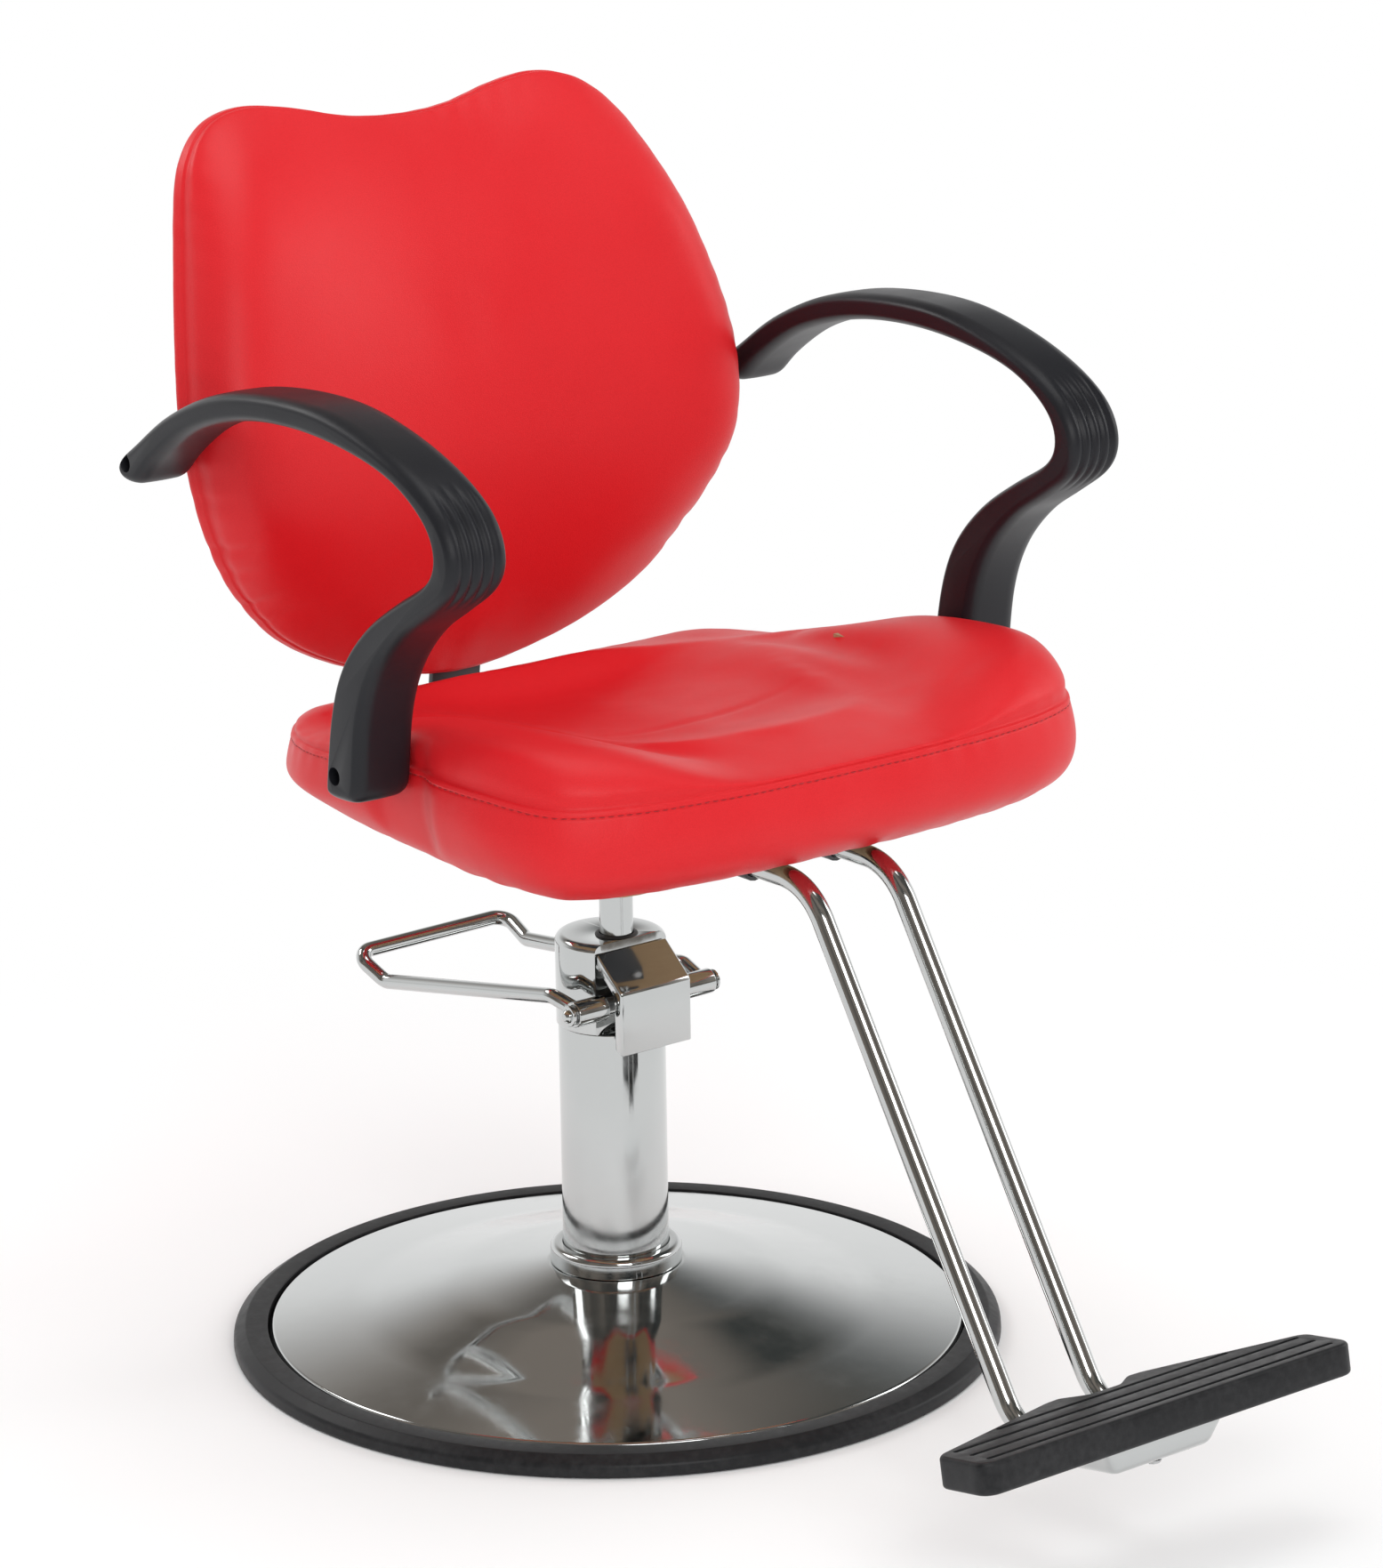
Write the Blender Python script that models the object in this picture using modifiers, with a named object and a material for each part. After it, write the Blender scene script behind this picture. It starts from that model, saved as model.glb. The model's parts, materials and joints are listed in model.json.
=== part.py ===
"""Hydraulic barber chair, as the separate pieces it is put together from.

Metres, +Z up. The origin is on the floor under the middle of the pump. The
sitter faces -Y, with the right arm at -X. The pump is at its lowest.
"""
import math
from collections import namedtuple

import bmesh
import bpy
from mathutils import Matrix, Vector

# ---------------------------------------------------------------- clearances
GAP = 0.0003              # between a piece and what it rests on or fits in
RUNNING = 0.0005          # round a shaft that turns or slides

# ---------------------------------------------------------------- base
BASE_R = 0.290            # outside of the rubber ring
RING_WIDTH = 0.0265
RING_H = 0.0150
BASE_STEPS = 48           # facets round the base
PLATE_T = 0.0080          # cast disc that weights the base
COVER_T = 0.0015
COVER_EDGE_H = 0.0045     # upright lip of the chrome cover
COVER_TOP_Z = 0.0560
COLLAR_R = 0.0496
COLLAR_H = 0.0150

# ---------------------------------------------------------------- heights
SEAT_LOW_Z = 0.4300       # underside of the seat, which the ram and all above follow

# ---------------------------------------------------------------- pump
PUMP_R = 0.0398
PUMP_WALL = 0.0030
PUMP_TOP_Z = 0.2450
FOOT_H = 0.0240
FOOT_BOLT_PCD_R = 0.0260
CAP_R = 0.0412
CAP_TOP_Z = PUMP_TOP_Z + 0.0690
CAP_SPIGOT = 0.0300
CAP_RIM_R = 0.0060        # rounded top edge
OIL_HOLE_R = 0.0016
RAM_R = 0.0125
RAM_Y = -0.0078           # the ram is off the pump's centre, towards the axle
RAM_TOP_Z = SEAT_LOW_Z - 0.0075
CYL_BORE_R = RAM_R + 0.0035
CYL_R = CYL_BORE_R + 0.0030
PISTON_H = 0.0160
PISTON_LIFT = 0.0030      # oil under the piston with the seat down
RING_GROOVE_DEEP = 0.0025
PISTON_RING_H = 0.0050
ROD_TAIL_IN = 0.0035      # the rod's tail in the piston, thinner by this
SEAL_H = 0.0060
BUSH_R = RAM_R + 0.0040

# ---------------------------------------------------------------- lever
AXLE_Y = RAM_Y - BUSH_R - 0.0127   # the plunger's bore clears the bush
AXLE_Z = PUMP_TOP_Z + 0.0260
AXLE_R = 0.0060
SLOT_REAR_Y = AXLE_Y + 0.0125    # slot across the cap for the axle
BOSS_R = AXLE_R + 0.0035
BOSS_IN_X = 0.0360
BOSS_OUT_X = 0.0635
AXLE_HALF = BOSS_OUT_X + 0.0020
LEVER_R = 0.0058
PEDAL_Y = 0.2200
PEDAL_Z = AXLE_Z - 0.0110
PEDAL_NEAR_X = -0.0790
PEDAL_FAR_X = 0.0640
LEVER_BENDS = (0.018, 0.012, 0.010, 0.012, 0.016, 0.030, 0.018)
TOE_REACH = 0.0078        # how far the cam toe stands behind the axle
TOE_DROP = 0.0042
TOE_R = 0.0034
PLUNGER_R = 0.0030
PLUNGER_LEN = 0.0240
PLUNGER_BORE_Z = AXLE_Z - 0.0520
SPRING_R = 0.0023
SPRING_WIRE_R = 0.0004
SPRING_COILS = 5

# ---------------------------------------------------------------- hood
HOOD_HALF = BOSS_IN_X - 0.0035
HOOD_FRONT_Y = AXLE_Y - 0.0180
HOOD_LOW_Z = AXLE_Z - 0.0345
HOOD_BEND_Z = AXLE_Z + 0.0135
HOOD_TOP_Y = SLOT_REAR_Y - 0.0020
HOOD_TOP_Z = CAP_TOP_Z - 0.0060
HOOD_T = 0.0014
HOOD_FLANGE = 0.0080

# ---------------------------------------------------------------- seat
SEAT_HALF = 0.2475        # half the width between the arms
SEAT_FRONT_Y = -0.2900
SEAT_REAR_Y = 0.1350
SEAM_Z = SEAT_LOW_Z + 0.0680     # seam between the top panel and the boxing
BOARD_Z = SEAT_LOW_Z + 0.0023
BOARD_T = 0.0120
BOARD_INSET = 0.0330      # foam outside the board's edge
RAIL_W = 0.0280
RAIL_TOP_Z = SEAT_LOW_Z + 0.0860
RAIL_LEN = 0.1000
PLATE_SIZE = 0.1700       # steel mounting plate on the socket
PLATE_STEEL = 0.0035
PLATE_Y = 0.0060          # plate's middle behind the ram
PLATE_BOLT_IN = 0.0140    # bolts in from the plate's edges
SOCKET_R = RAM_R + 0.0110
SOCKET_H = 0.0400
SEAT_RIDGE = 0.0300       # side ridges above the seam
SEAT_DISH = 0.0140        # hollow between them
SEAT_SWELL = 0.0060       # front and rear of the face
SEAT_ROLL = 0.0060        # how far the face turns down towards the seam
SEAT_MID_Y = -0.0800      # the plan grows and shrinks about this line

# ---------------------------------------------------------------- back
BACK_Y = 0.1570           # edge of the back at the lumbar bulge
BACK_LOW_Z = SEAT_LOW_Z + 0.0460
BACK_LUMBAR_Z = BACK_LOW_Z + 0.1790
BACK_HALF = SEAT_HALF + 0.0030   # half width at the widest
BACK_WIDE_Z = BACK_LOW_Z + 0.2140      # the outline is scaled about this height
BACK_EAR_Z = BACK_LOW_Z + 0.4400
BACK_DIP_Z = BACK_LOW_Z + 0.4190
BACK_BOARD_T = 0.0130
BACK_BOARD_INSET = 0.0320
BACK_BOARD_CORNERS = ((0.0080, 0.0040), (0.0080, 0.0040))   # lower, upper ones drawn in
BACK_COVER_INSET = 0.0100
BACK_COVER_CORNERS = ((0.0, 0.0), (0.0090, 0.0060))
BACK_COVER_T = 0.0085
BACK_COLUMNS = 8          # faces across and up the back's curve
BACK_ROWS = 9
BOLSTER = 0.0430          # how far the side bolsters stand in front of the edge
DISH = 0.0160             # how far the middle stands in front of the edge
BAR_W = 0.0450
BAR_T = 0.0050
BAR_TOP_Z = BACK_LOW_Z + 0.1240
BAR_FRONT_Y = 0.0240
BAR_LEAVES_Z = BACK_LOW_Z + 0.0090     # the bar lies on the board above this
BAR_BEND_R = 0.0400
BAR_BOLT_Y = (0.0400, 0.0740)
BACK_SCREW_Z = (BACK_LOW_Z + 0.0540, BACK_LOW_Z + 0.0990)

# ---------------------------------------------------------------- arms
ARM_W = 0.0490
ARM_IN_X = SEAT_HALF + 0.0025    # inner face, just clear of the upholstery
ARM_EDGE_R = 0.0070
ARM_SCREW_FRONT = (-0.0860, SEAT_LOW_Z + 0.0760)
ARM_SCREW_REAR = (0.1660, SEAT_LOW_Z + 0.2540)
ARM_HEAD_DEPTH = 0.0200
ARM_GROOVES = 4
ARM_GROOVE_PITCH = 0.0090
ARM_TIP = (-0.1845, SEAT_LOW_Z + 0.2515)   # the grooves run round this point
ARM_TIP_R = 0.0480
ARM_GROOVE_DEPTH = 0.0016
ARM_GROOVE_TURN = Matrix.Rotation(math.radians(4), 4, "Z")   # its facets clear the arm's

# ---------------------------------------------------------------- footrest
STRAP_T = 0.0025
STRAP_W = 0.0220
STRAP_Y = (-0.2080, -0.1170)
STRAP_WING = 0.0260
TUBE_R = 0.0080
TUBE_X = 0.0373
TUBE_Z = BOARD_Z - STRAP_T - 2 * GAP - TUBE_R
TUBE_REAR_Y = -0.0950
TUBE_KNEE_Y = -0.2790
TUBE_FOOT_Y = -0.4985
TUBE_BEND_R = 0.0500
TUBE_TOE_BEND_R = 0.0430
PAD_HALF = 0.1677
PAD_T = 0.0225
PAD_FRONT = (-0.6110, 0.1320)   # y and z of its front top edge
PAD_TILT = math.radians(10.4)
PAD_END_DEPTH = 0.0500
PAD_MID_DEPTH = 0.0830
PAD_SHOULDER_X = 0.0440
PAD_NOTCH_X = 0.0310
PAD_NOTCH_IN_X = 0.0140
PAD_NOTCH_DEPTH = 0.0120
PAD_BORDER = 0.0085
PAD_GROOVES = 4
PAD_GROOVE_W = 0.0040
PAD_GROOVE_DEPTH = 0.0022
TRAY_T = 0.0020
TRAY_HALF = TUBE_X + TUBE_R + 0.0077   # both tubes lie in the tray
TRAY_LOW_HALF = TRAY_HALF - 0.0090
TRAY_DEPTH = 2 * TUBE_R + TRAY_T + 0.0025
TRAY_LEN = 0.0720
TRAY_FRONT = 0.0100       # front wall's top edge, back from the pad's
PAD_SCREW_BACK = (0.0280, 0.0560)

# ---------------------------------------------------------------- screws
Screw = namedtuple("Screw", "head_r head_h shank_r shank_len hexagon")
BASE_BOLT = Screw(0.0060, 0.0040, 0.0036, 0.0160, True)
PLATE_BOLT = Screw(0.0075, 0.0050, 0.0040, 0.0130, True)
BAR_BOLT = Screw(0.0065, 0.0045, 0.0036, 0.0165, True)
BACK_SCREW = Screw(0.0050, 0.0022, 0.0025, 0.0100, False)
ARM_SCREW = Screw(0.0062, 0.0045, 0.0030, 0.0880, False)
STRAP_SCREW = Screw(0.0050, 0.0030, 0.0022, 0.0110, False)
PAD_SCREW = Screw(0.0055, 0.0030, 0.0025, TRAY_DEPTH + 0.0110, False)

# ---------------------------------------------------------------- finishes
FINISHES = {
    "chrome": ((0.80, 0.81, 0.83, 1.0), 0.08, 1.0),
    "steel": ((0.55, 0.56, 0.58, 1.0), 0.30, 1.0),
    "cast_iron": ((0.08, 0.08, 0.09, 1.0), 0.55, 0.6),
    "bronze": ((0.60, 0.40, 0.20, 1.0), 0.30, 1.0),
    "black_steel": ((0.015, 0.015, 0.018, 1.0), 0.40, 0.3),
    "black_rubber": ((0.020, 0.020, 0.022, 1.0), 0.60, 0.0),
    "black_plastic": ((0.014, 0.014, 0.017, 1.0), 0.38, 0.0),
    "red_vinyl": ((0.72, 0.018, 0.024, 1.0), 0.36, 0.0),
    "plywood": ((0.52, 0.36, 0.20, 1.0), 0.70, 0.0),
    "seal_rubber": ((0.030, 0.030, 0.032, 1.0), 0.55, 0.0),
}


# ================================================================ scene set-up
def clear_scene():
    for obj in list(bpy.data.objects):
        bpy.data.objects.remove(obj, do_unlink=True)
    for mesh in list(bpy.data.meshes):
        bpy.data.meshes.remove(mesh)
    for group in list(bpy.data.collections):
        bpy.data.collections.remove(group)


def new_collection(name):
    group = bpy.data.collections.new(name)
    bpy.context.scene.collection.children.link(group)
    return group


def finish_material(name, finish):
    colour, roughness, metallic = FINISHES[finish]
    material = bpy.data.materials.new(name + "_" + finish)
    material.use_nodes = True
    shader = material.node_tree.nodes["Principled BSDF"]
    shader.inputs["Base Color"].default_value = colour
    shader.inputs["Roughness"].default_value = roughness
    shader.inputs["Metallic"].default_value = metallic
    material.diffuse_color = colour
    return material


clear_scene()
PARTS = new_collection("hydraulic_barber_chair")
CUTTERS = new_collection("cutters")


# ================================================================ makers
def add_part(name, data, finish, location=(0, 0, 0)):
    obj = bpy.data.objects.new(name, data)
    obj.location = location
    if not data.materials:
        data.materials.append(finish_material(name, finish))
    PARTS.objects.link(obj)
    return obj


def add_empty(name, location):
    empty = bpy.data.objects.new(name, None)
    empty.location = location
    empty.empty_display_size = 0.03
    PARTS.objects.link(empty)
    return empty


def carried_by(parent, *children):
    """Parent each child to an empty on its joint's axis, where it stands."""
    bpy.context.view_layer.update()
    for child in children:
        child.parent = parent
        child.matrix_parent_inverse = parent.matrix_world.inverted()


def hide_cutter(obj):
    for group in list(obj.users_collection):
        group.objects.unlink(obj)
    CUTTERS.objects.link(obj)
    obj.display_type = "WIRE"
    obj.hide_render = True
    return obj


def mesh_from(bm, name, smooth_angle=math.radians(35)):
    bmesh.ops.recalc_face_normals(bm, faces=bm.faces)
    mesh = bpy.data.meshes.new(name)
    bm.to_mesh(mesh)
    bm.free()
    mesh.shade_smooth()
    mesh.set_sharp_from_angle(angle=smooth_angle)
    return mesh


def evaluated_mesh(obj):
    """The mesh an object's modifiers or curve make, with its loose caps welded."""
    depsgraph = bpy.context.evaluated_depsgraph_get()
    mesh = bpy.data.meshes.new_from_object(obj.evaluated_get(depsgraph))
    bm = bmesh.new()
    bm.from_mesh(mesh)
    bmesh.ops.remove_doubles(bm, verts=bm.verts, dist=0.00001)
    bpy.data.meshes.remove(mesh)
    return mesh_from(bm, obj.name)


def made_mesh(obj, finish):
    """Replace a curve or modified object by the mesh object it evaluates to."""
    name = obj.name
    bpy.context.view_layer.update()
    place = obj.matrix_world.copy()
    mesh = evaluated_mesh(obj)
    bpy.data.objects.remove(obj, do_unlink=True)
    mesh.materials.clear()
    made = add_part(name, mesh, finish)
    made.matrix_world = place
    return made


def lathe(name, profile, finish, at=(0, 0, 0), steps=40, ring=True):
    """Turn a profile of (radius, z) points, outer side top to bottom, about +Z."""
    edges = [(i, i + 1) for i in range(len(profile) - 1)]
    if ring:
        edges.append((len(profile) - 1, 0))
    mesh = bpy.data.meshes.new(name)
    mesh.from_pydata([(r, 0.0, z) for r, z in profile], edges, [])
    obj = add_part(name, mesh, finish, at)
    screw = obj.modifiers.new("Turn", "SCREW")
    screw.angle = math.tau
    screw.steps = steps
    screw.render_steps = steps
    screw.use_merge_vertices = True
    screw.merge_threshold = 0.00001
    screw.use_smooth_shade = True
    return obj


def cylinder_mesh(name, radius, length, segments):
    bm = bmesh.new()
    bmesh.ops.create_cone(bm, cap_ends=True, segments=segments, radius1=radius,
                          radius2=radius, depth=length)
    return mesh_from(bm, name)


ACROSS = Vector((1, 0, 0))
UP = Vector((0, 0, 1))


def aimed(place, direction):
    """World matrix that stands a shape's own +Z along the direction."""
    turn = UP.rotation_difference(Vector(direction))
    return Matrix.Translation(place) @ turn.to_matrix().to_4x4()


def rod_cutter(name, centre, direction, radius, length, segments=16):
    obj = add_part(name, cylinder_mesh(name, radius, length, segments), "steel")
    obj.matrix_world = aimed(centre, direction)
    return hide_cutter(obj)


def box_mesh(name, size):
    bm = bmesh.new()
    bmesh.ops.create_cube(bm, size=1.0)
    bmesh.ops.scale(bm, vec=size, verts=bm.verts)
    return mesh_from(bm, name)


def box_cutter(name, low, high):
    size = [h - l for l, h in zip(low, high)]
    centre = [(l + h) / 2 for l, h in zip(low, high)]
    obj = add_part(name, box_mesh(name, size), "steel", centre)
    return hide_cutter(obj)


def boolean(obj, cutter, operation="DIFFERENCE"):
    step = obj.modifiers.new(operation.title() + " " + cutter.name, "BOOLEAN")
    step.operation = operation
    step.solver = "EXACT"
    step.object = cutter
    return step


def bore(obj, centre, direction, radius, length, segments=16):
    """Cut a round hole whose middle is at the centre."""
    label = "bore_%s_%d" % (obj.name, len(obj.modifiers))
    boolean(obj, rod_cutter(label, centre, direction, radius, length, segments))


def bevelled(obj, width, segments=2, angle=math.radians(40)):
    step = obj.modifiers.new("Bevel", "BEVEL")
    step.width = width
    step.segments = segments
    step.limit_method = "ANGLE"
    step.angle_limit = angle
    return step


def filleted(points, radii, steps=5):
    """A path through the points with each inner corner turned to an arc."""
    path = [Vector(points[0])]
    for i in range(1, len(points) - 1):
        corner = Vector(points[i])
        back = (Vector(points[i - 1]) - corner).normalized()
        ahead = (Vector(points[i + 1]) - corner).normalized()
        half = back.angle(ahead) / 2
        reach = radii[i - 1] / math.tan(half)
        centre = corner + (back + ahead).normalized() * radii[i - 1] / math.sin(half)
        start = corner + back * reach - centre
        finish = corner + ahead * reach - centre
        turn = start.angle(finish)
        for k in range(steps + 1):
            share = k / steps
            spoke = (start * math.sin((1 - share) * turn)
                     + finish * math.sin(share * turn)) / math.sin(turn)
            path.append(centre + spoke)
    path.append(Vector(points[-1]))
    return path


def swept_rod(name, path, radius, finish, sides_step=4):
    """Round bar along a path, 4 + 2 * sides_step sides."""
    curve = bpy.data.curves.new(name, "CURVE")
    curve.dimensions = "3D"
    curve.bevel_depth = radius
    curve.bevel_resolution = sides_step
    curve.use_fill_caps = True
    spline = curve.splines.new("POLY")
    spline.points.add(len(path) - 1)
    for point, place in zip(spline.points, path):
        point.co = (*place, 1.0)
    return add_part(name, curve, finish)


def flat_outline(name, points, thickness, finish, edge=0.0, edge_steps=1):
    """Closed flat outline in XY, extruded both ways to the thickness."""
    curve = bpy.data.curves.new(name, "CURVE")
    curve.dimensions = "2D"
    curve.fill_mode = "BOTH"
    curve.extrude = thickness / 2 - edge
    curve.bevel_depth = edge
    curve.bevel_resolution = edge_steps
    curve.offset = -edge
    spline = curve.splines.new("POLY")
    spline.points.add(len(points) - 1)
    spline.use_cyclic_u = True
    for point, place in zip(spline.points, points):
        point.co = (place[0], place[1], 0.0, 1.0)
    return add_part(name, curve, finish)


def rounded_corners(corners, steps=4):
    """Outline through (x, y, radius) corners, each turned to an arc."""
    ring = [Vector((x, y, 0.0)) for x, y, _ in corners]
    outline = []
    for i, corner in enumerate(corners):
        if corner[2] == 0.0:
            outline.append(ring[i])
            continue
        bend = filleted([ring[i - 1], ring[i], ring[(i + 1) % len(ring)]], [corner[2]], steps)
        outline += bend[1:-1]
    return outline


def spline_through(points, per_span):
    """Points of a smooth curve through the given (a, b) points."""
    knots = [points[0]] + list(points) + [points[-1]]
    curve = []
    for i in range(1, len(knots) - 2):
        p0, p1, p2, p3 = (Vector(knots[k]) for k in (i - 1, i, i + 1, i + 2))
        for k in range(per_span):
            t = k / per_span
            curve.append(0.5 * (2 * p1 + (p2 - p0) * t + (2 * p0 - 5 * p1 + 4 * p2 - p3) * t ** 2
                                + (3 * p1 - p0 - 3 * p2 + p3) * t ** 3))
    curve.append(Vector(points[-1]))
    return curve


def screw_mesh(name, screw):
    """Screw pointing down -Z from z 0 under its head, hexagon or domed."""
    head_h = screw.head_h
    shank = cylinder_mesh(name + "_shank", screw.shank_r, screw.shank_len + head_h / 2, 8)
    shank_obj = add_part(name + "_shank", shank, "steel", (0, 0, (head_h / 2 - screw.shank_len) / 2))
    if screw.hexagon:
        head = add_part(name, cylinder_mesh(name, screw.head_r, head_h, 6), "steel")
        head.data.transform(Matrix.Translation((0, 0, head_h / 2)))
    else:
        head = lathe(name, [
            (0.0, head_h), (screw.head_r * 0.75, head_h * 0.75), (screw.head_r, 0.0), (0.0, 0.0)],
            "steel", steps=8, ring=False)
        head = made_mesh(head, "steel")
    boolean(head, shank_obj, "UNION")
    bpy.context.view_layer.update()
    mesh = evaluated_mesh(head)
    bpy.data.objects.remove(head, do_unlink=True)
    bpy.data.objects.remove(shank_obj, do_unlink=True)
    mesh.materials.clear()
    return mesh


def place_screw(name, mesh, seat, direction):
    """Stand a screw on its seat, its shank pointing along the direction."""
    obj = add_part(name, mesh.copy(), "steel")
    obj.matrix_world = aimed(seat, -Vector(direction))
    return obj


def screw_hole(obj, seat, direction, screw, segments=8):
    """Clearance hole for a whole screw, through the piece or blind where it ends."""
    bore(obj, seat, direction, screw.shank_r + GAP, 2 * (screw.shank_len + 2 * GAP), segments)


def padded_slab(name, columns, rows, rings, place, finish):
    """Soft form: a slab cage of u, v in -1..1 and h 0 (back) to 1 (face)."""
    bm = bmesh.new()
    bmesh.ops.create_grid(bm, x_segments=columns, y_segments=rows, size=1.0)
    sheet = bm.faces[:]
    raised = bmesh.ops.extrude_face_region(bm, geom=sheet, use_keep_orig=True)["geom"]
    lifted = [item for item in raised if isinstance(item, bmesh.types.BMVert)]
    bmesh.ops.translate(bm, vec=(0, 0, 1), verts=lifted)
    upright = [e for e in bm.edges if abs(e.verts[0].co.z - e.verts[1].co.z) > 0.5]
    bmesh.ops.subdivide_edges(bm, edges=upright, cuts=rings)
    for vert in bm.verts:
        vert.co = place(*vert.co)
    obj = add_part(name, mesh_from(bm, name), finish)
    soft = obj.modifiers.new("Soft", "SUBSURF")
    soft.levels = 1
    soft.render_levels = 1
    return obj


def smooth_step(low, high, value):
    t = min(max((value - low) / (high - low), 0.0), 1.0)
    return t * t * (3 - 2 * t)


# ================================================================ base
def make_base():
    inner = BASE_R - RING_WIDTH
    lathe("base_ring", [
        (BASE_R - 0.010, RING_H), (BASE_R - 0.003, RING_H - 0.0035), (BASE_R, RING_H * 0.45),
        (BASE_R - 0.001, 0.0), (inner, 0.0), (inner, RING_H)], "black_rubber", steps=BASE_STEPS)

    plate_r = inner - GAP
    plate = add_part("base_plate", cylinder_mesh("base_plate", plate_r, PLATE_T, BASE_STEPS),
                     "cast_iron", (0, 0, PLATE_T / 2))

    hole = PUMP_R + GAP
    land = COLLAR_R + 0.002
    low = PLATE_T + GAP
    rim = low + COVER_EDGE_H
    skin = [(hole, COVER_TOP_Z), (land, COVER_TOP_Z), (land + 0.070, COVER_TOP_Z - 0.0118),
            (plate_r - 0.070, rim + 0.0135), (plate_r - 0.004, rim + 0.0020), (plate_r, rim)]
    lip = [(plate_r, low), (plate_r - COVER_T, low)]
    under = [(r, z - COVER_T) for r, z in reversed(skin[:4])]
    lathe("base_cover", skin + lip + under, "chrome", steps=BASE_STEPS)

    seat = COVER_TOP_Z + GAP
    top = seat + COLLAR_H
    lathe("base_collar", [
        (hole, top), (COLLAR_R - 0.0035, top), (COLLAR_R, top - 0.0035), (COLLAR_R, seat),
        (hole, seat)], "chrome", steps=36)
    return plate


def make_pump(plate):
    inner = PUMP_R - PUMP_WALL
    foot_z = PLATE_T + GAP
    lathe("pump_tube", [(PUMP_R, PUMP_TOP_Z), (PUMP_R, foot_z), (inner, foot_z),
                        (inner, PUMP_TOP_Z)], "chrome", steps=36)

    foot = lathe("pump_foot", [
        (0.0, foot_z + FOOT_H), (inner - GAP - 0.002, foot_z + FOOT_H),
        (inner - GAP, foot_z + FOOT_H - 0.002), (inner - GAP, foot_z), (0.0, foot_z)],
        "cast_iron", steps=24, ring=False)
    bolt = screw_mesh("base_bolt", BASE_BOLT)
    for i in range(4):
        turn = math.pi / 4 + i * math.pi / 2
        x = FOOT_BOLT_PCD_R * math.cos(turn)
        y = FOOT_BOLT_PCD_R * math.sin(turn)
        seat = (x, y, BASE_BOLT.head_h + GAP)
        screw_hole(foot, seat, UP, BASE_BOLT)
        screw_hole(plate, seat, UP, BASE_BOLT)
        bore(plate, (x, y, 0.0), UP, BASE_BOLT.head_r + 5 * GAP, 2 * (seat[2] + GAP), 12)
        place_screw("base_bolt_%d" % (i + 1), bolt, seat, UP)

    cyl_z = foot_z + FOOT_H + GAP
    cyl_top = PUMP_TOP_Z - CAP_SPIGOT - GAP
    lathe("inner_cylinder", [(CYL_R, cyl_top), (CYL_R, cyl_z), (CYL_BORE_R, cyl_z),
                             (CYL_BORE_R, cyl_top)], "steel", (0, RAM_Y, 0), steps=20)

    spigot_z = PUMP_TOP_Z - CAP_SPIGOT
    flange_z = PUMP_TOP_Z + GAP
    cap = lathe("pump_cap", [
        (0.0, CAP_TOP_Z), (CAP_R - CAP_RIM_R, CAP_TOP_Z),
        (CAP_R - CAP_RIM_R * 0.5, CAP_TOP_Z - CAP_RIM_R * 0.13),
        (CAP_R - CAP_RIM_R * 0.13, CAP_TOP_Z - CAP_RIM_R * 0.5),
        (CAP_R, CAP_TOP_Z - CAP_RIM_R), (CAP_R, flange_z), (inner - GAP, flange_z),
        (inner - GAP, spigot_z), (0.0, spigot_z)], "chrome", steps=36, ring=False)
    bush_room = PUMP_TOP_Z - 0.0005
    bore(cap, (0, RAM_Y, CAP_TOP_Z), UP, RAM_R + RUNNING, 0.4, 24)
    bore(cap, (0, RAM_Y, (spigot_z - 0.01 + bush_room) / 2), UP, BUSH_R + GAP,
         bush_room - spigot_z + 0.01, 32)
    boolean(cap, box_cutter("axle_slot", (-0.06, -0.06, flange_z - 0.001),
                            (0.06, SLOT_REAR_Y, CAP_TOP_Z + 0.01)))
    plunger_y = AXLE_Y + TOE_REACH
    bore(cap, (0, plunger_y, flange_z), UP, PLUNGER_R + GAP, 2 * (flange_z - PLUNGER_BORE_Z), 14)
    bore(cap, (0, plunger_y, spigot_z), UP, OIL_HOLE_R, 0.020, 10)

    lathe("ram_seal", [
        (BUSH_R, spigot_z + SEAL_H), (BUSH_R, spigot_z + GAP), (RAM_R + GAP, spigot_z + GAP),
        (RAM_R + GAP, spigot_z + SEAL_H)], "seal_rubber", (0, RAM_Y, 0), steps=20)
    lathe("ram_bush", [
        (BUSH_R, bush_room - GAP), (BUSH_R, spigot_z + SEAL_H + GAP),
        (RAM_R + GAP, spigot_z + SEAL_H + GAP), (RAM_R + GAP, bush_room - GAP)],
        "bronze", (0, RAM_Y, 0), steps=20)


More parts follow.
